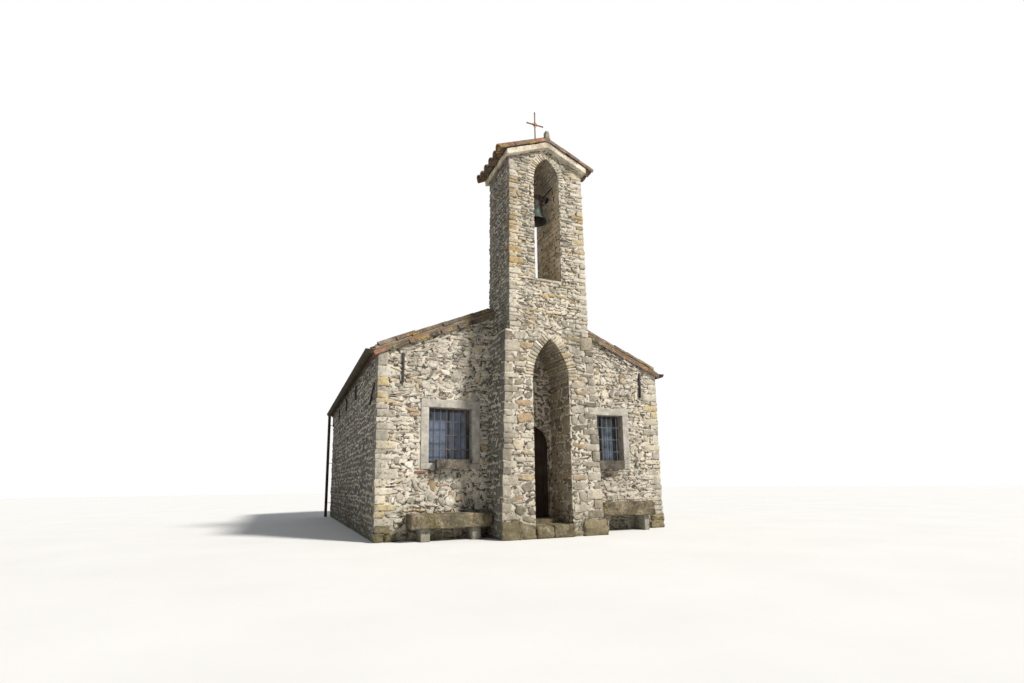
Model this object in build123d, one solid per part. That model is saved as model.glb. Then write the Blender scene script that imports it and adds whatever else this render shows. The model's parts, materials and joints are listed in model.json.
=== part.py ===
from build123d import *
from math import atan2, cos, pi, radians, sin, tan
import os

# Small stone chapel with a belfry tower on its front, in millimetres.
# +Z is up, +X runs along the front to the right and +Y runs back along the nave.
# The origin is on the ground, under the middle of the whole building.

# Nave walls
NAVE_WIDTH = 6200
NAVE_LENGTH = 9200
WALL = 550
EAVE_HEIGHT = 3430
ROOF_PITCH = 22.5
FLOOR_LEVEL = 310

# Nave roof
DECK = 30
TILE_LAYER = 110
EAVE_OVERHANG = 60
TILE_DRIP = 50
TILE_COLUMNS = 35
CHANNEL_FLOOR = 50
CHANNEL_LAP = 30
COVER_FOOT = 196
COVER_CROWN = 100
VERGE_OVERHANG = 40
VERGE_TILE_WIDTH = 200
VERGE_TILE_HEIGHT = 130
VERGE_FLANK = 30
VERGE_SKIRT = 75
RIDGE_TILE_RADIUS = 120
RIDGE_BEAM_WIDTH = 180
RIDGE_BEAM_HEIGHT = 240
PURLIN_WIDTH = 140
PURLIN_HEIGHT = 180

# Tower and porch on the front
TOWER_TOP_WIDTH = 1610
TOWER_LEDGE_WIDTH = 1690
TOWER_PROJECTION = 815
TOWER_BACK = 230
TOWER_SHOULDER = 340
TOWER_ROOF_PITCH = 22.5
LEDGE_RISE = 390
PORCH_TOP_WIDTH = 1850
PORCH_BASE_WIDTH = 2080
NICHE_WIDTH = 770
NICHE_APEX_DROP = 100
NICHE_RISE = 790
BELFRY_SILL_RISE = 186
BELFRY_OPENING = 570
BELFRY_JAMB = 2130
BELFRY_RISE = 470

# Tower roof
TOWER_BED = 120
TOWER_BED_SIDE = 75
TOWER_BED_VERGE = 100
TOWER_TILE = 80
TOWER_TILE_DRIP = 245
TOWER_TILE_VERGE = 110
TOWER_TILE_COLUMNS = 4
TOWER_CHANNEL_FLOOR = 30
TOWER_CHANNEL_EDGE = 6
TOWER_RIDGE_RADIUS = 85

# Cross on the tower roof
CROSS_HEIGHT = 902
CROSS_ARM_DROP = 300
CROSS_SPAN = 400
CROSS_BAR = 24
CROSS_Y = -360

# Doorway and door
DOOR_WIDTH = 700
DOOR_SPRING = 1770
DOOR_REVEAL = 110
DOOR_INNER_WIDTH = 1000
DOOR_INNER_HEAD = 2260
DOOR_LAP = 40
DOOR_LEAF = 45
DOOR_RUN = 10
DOOR_SHUT_GAP = 6
PINTLE_INSET = 30
PINTLE_RADIUS = 9
PINTLE_CLEARANCE = 0.5
KNUCKLE_WALL = 6
STRAP_HEIGHT = 45
STRAP_LENGTH = 560
STRAP_THICKNESS = 7
STRAP_LOW = 650
STRAP_HIGH = 1620

# Step and threshold, and the hair's breadth that separate pieces leave
STEP_FRONT = 900
STEP_TOP = 240
STEP_BACK = 450
MASON_GAP = 0.3

# Windows, the same on both sides of the tower
WINDOW_CENTRE = 1725
WINDOW_WIDTH = 850
WINDOW_SILL = 1370
WINDOW_HEAD = 2410
JAMB_WIDTH = 150
LINTEL_HEIGHT = 150
SILL_HEIGHT = 110
SURROUND_DEPTH = 240
SURROUND_PROUD = 12
CASEMENT_FRAME = 55
CASEMENT_DEPTH = 60
GLASS = 6
GRILLE_SETBACK = 70
GRILLE_BAR = 14
GRILLE_COLUMNS = 6
GRILLE_ROWS = 3

# Planter boxes under the windows
PLANTER_LENGTH = 620
PLANTER_HEIGHT = 170
PLANTER_DEPTH = 180
PLANTER_WALL = 14
PLANTER_SOIL = 130

# Bell, hung across the belfry opening
BELL_AXIS_DROP = 100
BELL_MOUTH_RADIUS = 235
BELL_HEIGHT = 460
BELL_WALL = 14
BELL_HANG = 80
YOKE_LENGTH = 380
YOKE_HEIGHT = 130
YOKE_DEPTH = 110
GUDGEON_RADIUS = 14
GUDGEON_CLEARANCE = 0.5
BEARING_BLOCK = 90
BEARING_THICKNESS = 50
CLAPPER_PIVOT_DROP = 60
CLAPPER_BALL = 30
CLAPPER_ROD = 9
CLAPPER_EYE_WIDTH = 18
CLAPPER_TAIL = 40
BALL_FACETS = 4
STAPLE_PIN = 6
STAPLE_CHEEK = 8
STAPLE_GAP = 1
LEVER_LENGTH = 400
LEVER_BAR = 22

# Rainwater goods
GUTTER_RADIUS = 80
GUTTER_SKIN = 4
HANGER_COUNT = 11
HANGER_WIDTH = 25
DOWNPIPE_RADIUS = 45
DOWNPIPE_FOOT = 0

# Iron wall anchors
ANCHOR_WIDTH = 35
ANCHOR_PROUD = 22
ANCHOR_LENGTH = 340
ANCHOR_FRONT_LENGTH = 560
ANCHOR_FRONT_X = 2650
ANCHOR_FRONT_DROP = 30
ANCHOR_SIDE_DROP = 130
ANCHOR_SIDE_FIRST = 3050
ANCHOR_SIDE_END = 150
ANCHOR_SIDE_COUNT = 4
ANCHOR_LEANING_Y = 485
ANCHOR_LEANING_Z = 2680
ANCHOR_LEANING_LENGTH = 620
ANCHOR_LEANING_TILT = 59

# Stone benches
BENCH_DEPTH = 460
BENCH_LEG_DEPTH = 360
LEFT_BENCH_GAP = 30
LEFT_BENCH_LENGTH = 1480
LEFT_BENCH_TOP = 470
LEFT_BENCH_SLAB = 240
LEFT_BENCH_LEG = 165
LEFT_BENCH_LEG_INSET = 190
RIGHT_BENCH_GAP = 220
RIGHT_BENCH_LENGTH = 1290
RIGHT_BENCH_TOP = 575
RIGHT_BENCH_SLAB = 260
RIGHT_BENCH_LEG = 120
RIGHT_BENCH_LEG_INSET = 90

# Base stones at the foot of the porch and the corners
BASE_STONE_FRONT = 870
BASE_STONE_HEIGHT = 325
BASE_STONE_OUT = 20
LOW_STONE_HEIGHT = 250
LOW_STONE_WIDTH = 320
LOW_STONE_GAP = 15
RIGHT_STONE_HEIGHT = 290
RIGHT_STONE_GAP = 215
RIGHT_STONE_OUT = 90
CORNER_STONE_HEIGHT = 290
CORNER_STONE_LENGTH = 360
CORNER_STONE_PROUD = 60

SLOPE = tan(radians(ROOF_PITCH))
TOWER_SLOPE = tan(radians(TOWER_ROOF_PITCH))
HALF = NAVE_WIDTH / 2
RIDGE_HEIGHT = EAVE_HEIGHT + HALF * SLOPE
LEDGE_HEIGHT = EAVE_HEIGHT + LEDGE_RISE
NICHE_SPRING = LEDGE_HEIGHT - NICHE_APEX_DROP - NICHE_RISE
BELFRY_SILL = RIDGE_HEIGHT + BELFRY_SILL_RISE
BELFRY_SPRING = BELFRY_SILL + BELFRY_JAMB
TOWER_TOP = BELFRY_SPRING + TOWER_SHOULDER
TOWER_RIDGE = TOWER_TOP + TOWER_TOP_WIDTH / 2 * TOWER_SLOPE
DECK_RISE = DECK / cos(radians(ROOF_PITCH))
TILE_RISE = TILE_LAYER / cos(radians(ROOF_PITCH))
FRONT_REACH = TOWER_PROJECTION + TOWER_TILE_VERGE
REAR_REACH = NAVE_LENGTH + VERGE_OVERHANG + VERGE_FLANK
VERGE_FACE = -VERGE_OVERHANG - VERGE_FLANK
LEFT_BENCH_INNER = PORCH_BASE_WIDTH / 2 + LEFT_BENCH_GAP
RIGHT_BENCH_INNER = PORCH_BASE_WIDTH / 2 + RIGHT_BENCH_GAP
TOWER_MID_Y = (TOWER_BACK - TOWER_PROJECTION) / 2
ORIGIN_SHIFT = -(REAR_REACH - FRONT_REACH) / 2


def block(x0, x1, y0, y1, z0, z1):
    """Return a plain block between the given limits."""
    middle = Pos((x0 + x1) / 2, (y0 + y1) / 2, (z0 + z1) / 2)
    return middle * Box(x1 - x0, y1 - y0, z1 - z0)


def run_back(section, y0, y1):
    """Extrude an X-Z section from y0 back to y1."""
    plane = Plane(origin=(0, y1, 0), x_dir=(1, 0, 0), z_dir=(0, -1, 0))
    return extrude(plane * section, amount=y1 - y0, dir=(0, -1, 0))


def polygon(points):
    """Return the face inside a closed row of points."""
    return make_face(Polyline(points, close=True))


def pointed_opening(half_width, z_foot, z_spring, rise):
    """Return the face of an opening with a pointed arch of two equal arcs."""
    radius = (rise**2 + half_width**2) / (2 * half_width)
    offset = radius - half_width
    middle = (pi + atan2(rise, -offset)) / 2
    near = (offset + radius * cos(middle), z_spring + radius * sin(middle))
    left = ThreePointArc((-half_width, z_spring), near, (0, z_spring + rise))
    right = ThreePointArc((0, z_spring + rise), (-near[0], near[1]), (half_width, z_spring))
    foot = Polyline((half_width, z_spring), (half_width, z_foot), (-half_width, z_foot), (-half_width, z_spring))
    return make_face(left + right + foot)


def round_opening(half_width, z_foot, z_spring):
    """Return the face of an opening with a half-round arch."""
    head = ThreePointArc((-half_width, z_spring), (0, z_spring + half_width), (half_width, z_spring))
    foot = Polyline((half_width, z_spring), (half_width, z_foot), (-half_width, z_foot), (-half_width, z_spring))
    return make_face(head + foot)


def mirrored(shape):
    """Return the shape mirrored from one side of the middle to the other."""
    return mirror(shape, about=Plane.YZ)


def pair(shape):
    """Return a shape of the right side together with its twin on the left."""
    return Compound(children=[*mirrored(shape).solids(), *shape.solids()])


def roof_z(x):
    """Height of the nave roof's underside at a distance x from the middle."""
    return RIDGE_HEIGHT - abs(x) * SLOPE


def tower_roof_z(x):
    """Height of the tower roof's underside at a distance x from the middle."""
    return TOWER_RIDGE - abs(x) * TOWER_SLOPE


def slope_layer(height_at, x_inner, x_outer, lift, rise, y0, y1):
    """Return one slope of a roof layer, lifted over the underside."""
    points = [
        (x_inner, height_at(x_inner) + lift),
        (x_outer, height_at(x_outer) + lift),
        (x_outer, height_at(x_outer) + lift + rise),
        (x_inner, height_at(x_inner) + lift + rise),
    ]
    return run_back(polygon(points), y0, y1)


def tower_half_width(z):
    """Half the width of the tower above its ledge, which tapers upwards."""
    share = (z - LEDGE_HEIGHT) / (TOWER_TOP - LEDGE_HEIGHT)
    return (TOWER_LEDGE_WIDTH + (TOWER_TOP_WIDTH - TOWER_LEDGE_WIDTH) * share) / 2


def porch_half_width(z):
    """Half the width of the porch below the ledge, which spreads downwards."""
    share = z / LEDGE_HEIGHT
    return (PORCH_BASE_WIDTH + (PORCH_TOP_WIDTH - PORCH_BASE_WIDTH) * share) / 2


def tapered(width_at, z0, z1, y0, y1):
    """Return the full-width storey of a tapering tower between two heights."""
    low = width_at(z0)
    high = width_at(z1)
    return run_back(polygon([(-low, z0), (low, z0), (high, z1), (-high, z1)]), y0, y1)


def right_half(shape):
    """Keep the part of a shape that lies on the right of the middle."""
    reach = NAVE_LENGTH
    return shape & block(0, reach, -reach, 2 * reach, -reach, 2 * reach)


# Tower, from the belfry sill up, and the solid shaft below it
def tower_shaft():
    return tapered(tower_half_width, LEDGE_HEIGHT, BELFRY_SILL, -TOWER_PROJECTION, TOWER_BACK)


def belfry_pier_right():
    storey = tapered(tower_half_width, BELFRY_SILL, BELFRY_SPRING, -TOWER_PROJECTION, TOWER_BACK)
    opening = pointed_opening(BELFRY_OPENING / 2, BELFRY_SILL, BELFRY_SPRING, BELFRY_RISE)
    return right_half(storey - run_back(opening, -TOWER_PROJECTION, TOWER_BACK))


def belfry_arch():
    low = tower_half_width(BELFRY_SPRING)
    high = TOWER_TOP_WIDTH / 2
    outline = [(-low, BELFRY_SPRING), (low, BELFRY_SPRING), (high, TOWER_TOP), (0, TOWER_RIDGE), (-high, TOWER_TOP)]
    head = run_back(polygon(outline), -TOWER_PROJECTION, TOWER_BACK)
    opening = pointed_opening(BELFRY_OPENING / 2, BELFRY_SPRING - WALL, BELFRY_SPRING, BELFRY_RISE)
    return head - run_back(opening, -TOWER_PROJECTION, TOWER_BACK)


def tower_roof_layer(reach, lift, rise, verge):
    """Return both slopes of a tower roof layer as one solid."""
    crown = TOWER_RIDGE + lift
    edge = tower_roof_z(reach) + lift
    points = [(-reach, edge), (0, crown), (reach, edge), (reach, edge + rise), (0, crown + rise), (-reach, edge + rise)]
    return run_back(polygon(points), -TOWER_PROJECTION - verge, TOWER_BACK + verge)


def tower_roof_bed():
    return tower_roof_layer(TOWER_TOP_WIDTH / 2 + TOWER_BED_SIDE, 0, TOWER_BED, TOWER_BED_VERGE)


def ribbed_layer(height, slope, reach, ribs, low, high, y0, y1):
    """Return one slope of barrel tiles: channels with a rib for each row of cover tiles."""
    outline = [(y0, 0), (y0, low)]
    for middle in ribs:
        outline += [
            (middle - COVER_FOOT / 2, low), (middle - COVER_CROWN / 2, high),
            (middle + COVER_CROWN / 2, high), (middle + COVER_FOOT / 2, low),
        ]
    outline += [(y1, low), (y1, 0)]
    section = make_face(Polyline(*[(0, y, height + z) for y, z in outline], close=True))
    length = reach * (1 + slope**2) ** 0.5
    return extrude(section, amount=length, dir=Vector(1, 0, -slope).normalized())


def tower_roof_tiles():
    y0 = -TOWER_PROJECTION - TOWER_TILE_VERGE
    y1 = TOWER_BACK + TOWER_TILE_VERGE
    first = y0 + COVER_FOOT / 2 + TOWER_CHANNEL_EDGE
    last = y1 - COVER_FOOT / 2 - TOWER_CHANNEL_EDGE
    step = (last - first) / TOWER_TILE_COLUMNS
    ribs = [first + step * column for column in range(TOWER_TILE_COLUMNS + 1)]
    reach = TOWER_TOP_WIDTH / 2 + TOWER_TILE_DRIP
    tiles = ribbed_layer(TOWER_RIDGE + TOWER_BED, TOWER_SLOPE, reach, ribs, TOWER_CHANNEL_FLOOR, TOWER_TILE, y0, y1)
    return tiles + mirrored(tiles)


def half_round_cap(radius, z_seat, y0, y1, seat_slope):
    """Return a half-round ridge cap whose foot fits over a two-sided slope."""
    drop = radius * seat_slope
    head = ThreePointArc((-radius, z_seat), (0, z_seat + radius), (radius, z_seat))
    foot = Polyline((radius, z_seat), (radius, z_seat - drop), (0, z_seat), (-radius, z_seat - drop), (-radius, z_seat))
    return run_back(make_face(head + foot), y0, y1)


TOWER_CROWN = TOWER_RIDGE + TOWER_BED + TOWER_TILE


def tower_ridge_tiles():
    y0 = -TOWER_PROJECTION - TOWER_TILE_VERGE
    y1 = TOWER_BACK + TOWER_TILE_VERGE
    return half_round_cap(TOWER_RIDGE_RADIUS, TOWER_CROWN, y0, y1, TOWER_SLOPE)


def roof_cross():
    foot = TOWER_CROWN + TOWER_RIDGE_RADIUS
    half = CROSS_BAR / 2
    post = block(-half, half, CROSS_Y - half, CROSS_Y + half, foot, foot + CROSS_HEIGHT)
    arms_z = foot + CROSS_HEIGHT - CROSS_ARM_DROP
    arms = block(-CROSS_SPAN / 2, CROSS_SPAN / 2, CROSS_Y - half, CROSS_Y + half, arms_z - half, arms_z + half)
    return post + arms


# Porch under the tower
def porch_pier_right():
    storey = tapered(porch_half_width, 0, NICHE_SPRING, -TOWER_PROJECTION, 0)
    opening = block(-NICHE_WIDTH / 2, NICHE_WIDTH / 2, -TOWER_PROJECTION, 0, 0, NICHE_SPRING)
    return right_half(storey - opening)


def porch_arch():
    storey = tapered(porch_half_width, NICHE_SPRING, LEDGE_HEIGHT, -TOWER_PROJECTION, 0)
    opening = pointed_opening(NICHE_WIDTH / 2, NICHE_SPRING - WALL, NICHE_SPRING, NICHE_RISE)
    return storey - run_back(opening, -TOWER_PROJECTION, 0)


def porch_step():
    side = NICHE_WIDTH / 2 - MASON_GAP
    return block(-side, side, -STEP_FRONT, -STEP_BACK, 0, STEP_TOP)


def door_threshold():
    side = NICHE_WIDTH / 2 - MASON_GAP
    outer = block(-side, side, -STEP_BACK, 0, 0, FLOOR_LEVEL)
    inner = block(-DOOR_INNER_WIDTH / 2, DOOR_INNER_WIDTH / 2, DOOR_REVEAL, WALL, 0, FLOOR_LEVEL)
    middle = block(-DOOR_WIDTH / 2, DOOR_WIDTH / 2, 0, DOOR_REVEAL, 0, FLOOR_LEVEL)
    return outer + middle + inner


# Front wall, split beside and over the doorway
def gable(y0, y1):
    outline = [(-HALF, 0), (HALF, 0), (HALF, EAVE_HEIGHT), (0, RIDGE_HEIGHT), (-HALF, EAVE_HEIGHT)]
    return run_back(polygon(outline), y0, y1)


def window_hole():
    """Return the space that a window and its stone surround take from the wall."""
    out = WINDOW_WIDTH / 2 + JAMB_WIDTH
    x0 = WINDOW_CENTRE - out
    x1 = WINDOW_CENTRE + out
    surround = block(x0, x1, -WALL, SURROUND_DEPTH, WINDOW_SILL - SILL_HEIGHT, WINDOW_HEAD + LINTEL_HEIGHT)
    half = WINDOW_WIDTH / 2
    inner = block(WINDOW_CENTRE - half, WINDOW_CENTRE + half, 0, WALL, WINDOW_SILL, WINDOW_HEAD)
    return surround + inner


def front_wall_right():
    side = gable(0, WALL) & block(DOOR_INNER_WIDTH / 2, HALF, 0, WALL, 0, RIDGE_HEIGHT)
    return side - window_hole() - tower_shaft()


def front_wall_over_door():
    half = DOOR_INNER_WIDTH / 2
    bay = gable(0, WALL) & block(-half, half, 0, WALL, DOOR_SPRING, RIDGE_HEIGHT)
    head = run_back(round_opening(DOOR_WIDTH / 2, 0, DOOR_SPRING), 0, DOOR_REVEAL)
    reveal = block(-half, half, DOOR_REVEAL, WALL, 0, DOOR_INNER_HEAD)
    return bay - head - reveal - tower_shaft()


def door_jambs():
    jamb = block(DOOR_WIDTH / 2, DOOR_INNER_WIDTH / 2, 0, DOOR_REVEAL, 0, DOOR_SPRING)
    return pair(jamb)


def side_wall_right():
    return run_back(
        polygon([(HALF - WALL, 0), (HALF, 0), (HALF, EAVE_HEIGHT), (HALF - WALL, roof_z(HALF - WALL))]),
        WALL,
        NAVE_LENGTH - WALL,
    )


def rear_wall():
    return gable(NAVE_LENGTH - WALL, NAVE_LENGTH)


def nave_floor():
    inner = HALF - WALL
    return block(-inner, inner, WALL, NAVE_LENGTH - WALL, 0, FLOOR_LEVEL)


# Nave roof
EAVE_X = HALF + EAVE_OVERHANG
DRIP_X = EAVE_X + TILE_DRIP


def roof_deck_right():
    y0 = MASON_GAP - VERGE_OVERHANG
    y1 = NAVE_LENGTH + VERGE_OVERHANG - MASON_GAP
    deck = slope_layer(roof_z, 0, EAVE_X, 0, DECK_RISE, y0, y1)
    return deck - tower_shaft()


def roof_tiles_right():
    y0 = VERGE_FACE + VERGE_TILE_WIDTH + MASON_GAP
    y1 = REAR_REACH - VERGE_TILE_WIDTH - MASON_GAP
    pitch = (y1 - y0 + 2 * CHANNEL_LAP) / TILE_COLUMNS
    ribs = [y0 - CHANNEL_LAP + pitch * column for column in range(1, TILE_COLUMNS)]
    tiles = ribbed_layer(roof_z(0) + DECK_RISE, SLOPE, DRIP_X, ribs, CHANNEL_FLOOR, TILE_RISE, y0, y1)
    return tiles - tower_shaft()


def verge_section(outward):
    """Return the section of a verge tile: half round on top, with a flank over the deck's edge."""
    radius = VERGE_TILE_WIDTH / 2
    straight = VERGE_TILE_HEIGHT - radius
    flank = outward * (radius - VERGE_FLANK)
    edge = outward * radius
    head = ThreePointArc((-edge, straight), (0, VERGE_TILE_HEIGHT), (edge, straight))
    skirt = -DECK - VERGE_SKIRT
    foot = Polyline((edge, straight), (edge, skirt), (flank, skirt), (flank, 0), (-edge, 0), (-edge, straight))
    return make_face(head + foot)


def verge_tile_row(y_outer, outward):
    """Return one row of verge tiles down the right-hand slope, with its outer face at y_outer."""
    middle = y_outer - outward * VERGE_TILE_WIDTH / 2
    x_inner = RIDGE_TILE_RADIUS
    start = Vector(x_inner, middle, roof_z(x_inner) + DECK_RISE + MASON_GAP)
    down = Vector(1, 0, -SLOPE).normalized()
    plane = Plane(origin=start, x_dir=(0, 1, 0), z_dir=down)
    length = (DRIP_X - x_inner) / cos(radians(ROOF_PITCH))
    return extrude(plane * verge_section(outward), amount=length, dir=down)


def front_verge_right():
    tower = tapered(tower_half_width, LEDGE_HEIGHT, TOWER_TOP, -TOWER_PROJECTION, TOWER_BACK)
    return verge_tile_row(VERGE_FACE, -1) - tower


def rear_verge_right():
    return verge_tile_row(REAR_REACH, 1)


def roof_ridge_tiles():
    seat = RIDGE_HEIGHT + DECK_RISE + TILE_RISE
    return half_round_cap(RIDGE_TILE_RADIUS, seat, TOWER_BACK, REAR_REACH - VERGE_TILE_WIDTH - MASON_GAP, SLOPE)


def roof_beams():
    y0 = WALL + MASON_GAP
    y1 = NAVE_LENGTH - WALL - MASON_GAP
    half = RIDGE_BEAM_WIDTH / 2
    top = roof_z(half)
    ridge = run_back(
        polygon([
            (-half, top - RIDGE_BEAM_HEIGHT),
            (half, top - RIDGE_BEAM_HEIGHT),
            (half, top),
            (0, RIDGE_HEIGHT),
            (-half, top),
        ]),
        y0,
        y1,
    )
    inner = HALF / 2 - PURLIN_WIDTH / 2
    outer = HALF / 2 + PURLIN_WIDTH / 2
    foot = roof_z(outer) - PURLIN_HEIGHT
    purlin = run_back(polygon([(inner, foot), (outer, foot), (outer, roof_z(outer)), (inner, roof_z(inner))]), y0, y1)
    return Compound(children=[*mirrored(purlin).solids(), *ridge.solids(), *purlin.solids()])


# Windows
def window_lintels():
    half = WINDOW_WIDTH / 2 + JAMB_WIDTH
    z0 = WINDOW_HEAD
    x = WINDOW_CENTRE
    return pair(block(x - half, x + half, -SURROUND_PROUD, SURROUND_DEPTH, z0, z0 + LINTEL_HEIGHT))


def window_jambs():
    half = WINDOW_WIDTH / 2
    x = WINDOW_CENTRE
    inner = block(x - half - JAMB_WIDTH, x - half, -SURROUND_PROUD, SURROUND_DEPTH, WINDOW_SILL, WINDOW_HEAD)
    outer = block(x + half, x + half + JAMB_WIDTH, -SURROUND_PROUD, SURROUND_DEPTH, WINDOW_SILL, WINDOW_HEAD)
    return Compound(children=[
        *mirrored(inner).solids(),
        *mirrored(outer).solids(),
        *inner.solids(),
        *outer.solids(),
    ])


def window_sills():
    half = WINDOW_WIDTH / 2 + JAMB_WIDTH
    x = WINDOW_CENTRE
    return pair(block(x - half, x + half, -SURROUND_PROUD, SURROUND_DEPTH, WINDOW_SILL - SILL_HEIGHT, WINDOW_SILL))


CASEMENT_FRONT = SURROUND_DEPTH - CASEMENT_DEPTH


def window_casements():
    half = WINDOW_WIDTH / 2
    bar = CASEMENT_FRAME
    x = WINDOW_CENTRE
    y0 = CASEMENT_FRONT
    y1 = SURROUND_DEPTH
    frame = block(x - half, x + half, y0, y1, WINDOW_SILL, WINDOW_HEAD)
    pane = WINDOW_WIDTH / 2 - bar * 1.5
    z0 = WINDOW_SILL + bar
    z1 = WINDOW_HEAD - bar
    for start in (x - half + bar, x + bar / 2):
        frame -= block(start, start + pane, y0, y1, z0, z1)
    return pair(frame)


def window_glass():
    bar = CASEMENT_FRAME
    pane = WINDOW_WIDTH / 2 - bar * 1.5
    middle = CASEMENT_FRONT + CASEMENT_DEPTH / 2
    z0 = WINDOW_SILL + bar
    z1 = WINDOW_HEAD - bar
    panes = []
    for start in (WINDOW_CENTRE - WINDOW_WIDTH / 2 + bar, WINDOW_CENTRE + bar / 2):
        sheet = block(start, start + pane, middle - GLASS / 2, middle + GLASS / 2, z0, z1)
        panes += [*mirrored(sheet).solids(), *sheet.solids()]
    return Compound(children=panes)


def window_grilles():
    half = WINDOW_WIDTH / 2
    bar = GRILLE_BAR / 2
    y = GRILLE_SETBACK
    height = WINDOW_HEAD - WINDOW_SILL
    grille = None
    for column in range(1, GRILLE_COLUMNS + 1):
        x = WINDOW_CENTRE - half + column * WINDOW_WIDTH / (GRILLE_COLUMNS + 1)
        upright = block(x - bar, x + bar, y - bar, y + bar, WINDOW_SILL, WINDOW_HEAD)
        grille = upright if grille is None else grille + upright
    for row in range(1, GRILLE_ROWS + 1):
        z = WINDOW_SILL + row * height / (GRILLE_ROWS + 1)
        rail = block(WINDOW_CENTRE - half, WINDOW_CENTRE + half, y - bar, y + bar, z - bar, z + bar)
        grille += rail
    return pair(grille)


def planter_boxes():
    half = PLANTER_LENGTH / 2
    top = WINDOW_SILL - SILL_HEIGHT + PLANTER_HEIGHT
    y0 = -SURROUND_PROUD - PLANTER_DEPTH
    y1 = -SURROUND_PROUD
    x = WINDOW_CENTRE
    trough = block(x - half, x + half, y0, y1, top - PLANTER_HEIGHT, top)
    skin = PLANTER_WALL
    soil = top - PLANTER_HEIGHT + PLANTER_SOIL
    trough -= block(x - half + skin, x + half - skin, y0 + skin, y1 - skin, soil, top)
    return pair(trough)


# Door leaf, which opens inwards about its left edge
LEAF_HALF = DOOR_WIDTH / 2 + DOOR_LAP
LEAF_FRONT = DOOR_REVEAL + DOOR_SHUT_GAP
LEAF_BACK = LEAF_FRONT + DOOR_LEAF
LEAF_FOOT = FLOOR_LEVEL + DOOR_RUN
HINGE_X = -LEAF_HALF - PINTLE_INSET
HINGE_Y = LEAF_BACK + STRAP_THICKNESS


def door_leaf():
    return run_back(round_opening(LEAF_HALF, LEAF_FOOT, DOOR_SPRING), LEAF_FRONT, LEAF_BACK)


def strap_hinge(z):
    """Return one strap with the eye that turns on its pintle."""
    bore = PINTLE_RADIUS + PINTLE_CLEARANCE
    outer = bore + KNUCKLE_WALL
    eye = Pos(HINGE_X, HINGE_Y, z) * Cylinder(outer, STRAP_HEIGHT)
    strap = block(HINGE_X, HINGE_X + STRAP_LENGTH, LEAF_BACK, HINGE_Y, z - STRAP_HEIGHT / 2, z + STRAP_HEIGHT / 2)
    hole = Pos(HINGE_X, HINGE_Y, z) * Cylinder(bore, STRAP_HEIGHT)
    return eye + strap - hole


def door_strap_hinges():
    return Compound(children=[*strap_hinge(STRAP_LOW).solids(), *strap_hinge(STRAP_HIGH).solids()])


def pintle(z):
    """Return one pintle: a pin through the strap's eye on an arm let into the reveal."""
    arm_top = z - STRAP_HEIGHT / 2 - 1
    arm_foot = arm_top - STRAP_HEIGHT / 2
    pin_top = z + STRAP_HEIGHT / 2
    pin_height = pin_top - arm_foot
    pin = Pos(HINGE_X, HINGE_Y, arm_foot + pin_height / 2) * Cylinder(PINTLE_RADIUS, pin_height)
    arm = block(-DOOR_INNER_WIDTH / 2 + MASON_GAP, HINGE_X, HINGE_Y - PINTLE_RADIUS, HINGE_Y + PINTLE_RADIUS, arm_foot, arm_top)
    return pin + arm


def door_pintles():
    return Compound(children=[*pintle(STRAP_LOW).solids(), *pintle(STRAP_HIGH).solids()])


# Bell on its headstock
BELL_AXIS_HEIGHT = BELFRY_SPRING - BELL_AXIS_DROP
BELL_TOP = BELL_AXIS_HEIGHT - BELL_HANG
BELL_LIP = BELL_TOP - BELL_HEIGHT
CLAPPER_PIVOT = BELL_TOP - CLAPPER_PIVOT_DROP
# Shares of the mouth radius and of the height, from the crown down to the lip
BELL_SIDE = ((0.50, 0), (0.60, 0.10), (0.67, 0.66), (1, 1))


def bell_point(out, down, inset=0):
    """Return a point of the bell's side from shares of its mouth radius and its height."""
    return (BELL_MOUTH_RADIUS * out - inset, BELL_TOP - BELL_HEIGHT * down)


def crown_staple():
    """Return the two cheeks under the crown and the pin that carries the clapper."""
    y = TOWER_MID_Y
    x0 = CLAPPER_EYE_WIDTH / 2 + STAPLE_GAP
    x1 = x0 + STAPLE_CHEEK
    half = 2 * STAPLE_PIN
    cheek = block(x0, x1, y - half, y + half, CLAPPER_PIVOT - half, BELL_TOP - BELL_WALL / 2)
    pin = Pos(0, y, CLAPPER_PIVOT) * Rot(0, 90, 0) * Cylinder(STAPLE_PIN, 2 * x1)
    return mirrored(cheek) + cheek + pin


def bell():
    """Return the bell as a turned shell: crown, shoulder, waist, sound bow and lip."""
    outer = [(0, BELL_TOP)] + [bell_point(out, down) for out, down in BELL_SIDE]
    inner = [bell_point(out, down, BELL_WALL) for out, down in reversed(BELL_SIDE[1:-1])]
    lip = bell_point(1, 1, 2 * BELL_WALL)
    crown = [(inner[-1][0], BELL_TOP - BELL_WALL), (0, BELL_TOP - BELL_WALL)]
    profile = make_face(Polyline(*outer, lip, *inner, *crown, close=True))
    return Pos(0, TOWER_MID_Y, 0) * revolve(Plane.XZ * profile, Axis.Z) + crown_staple()


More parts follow.
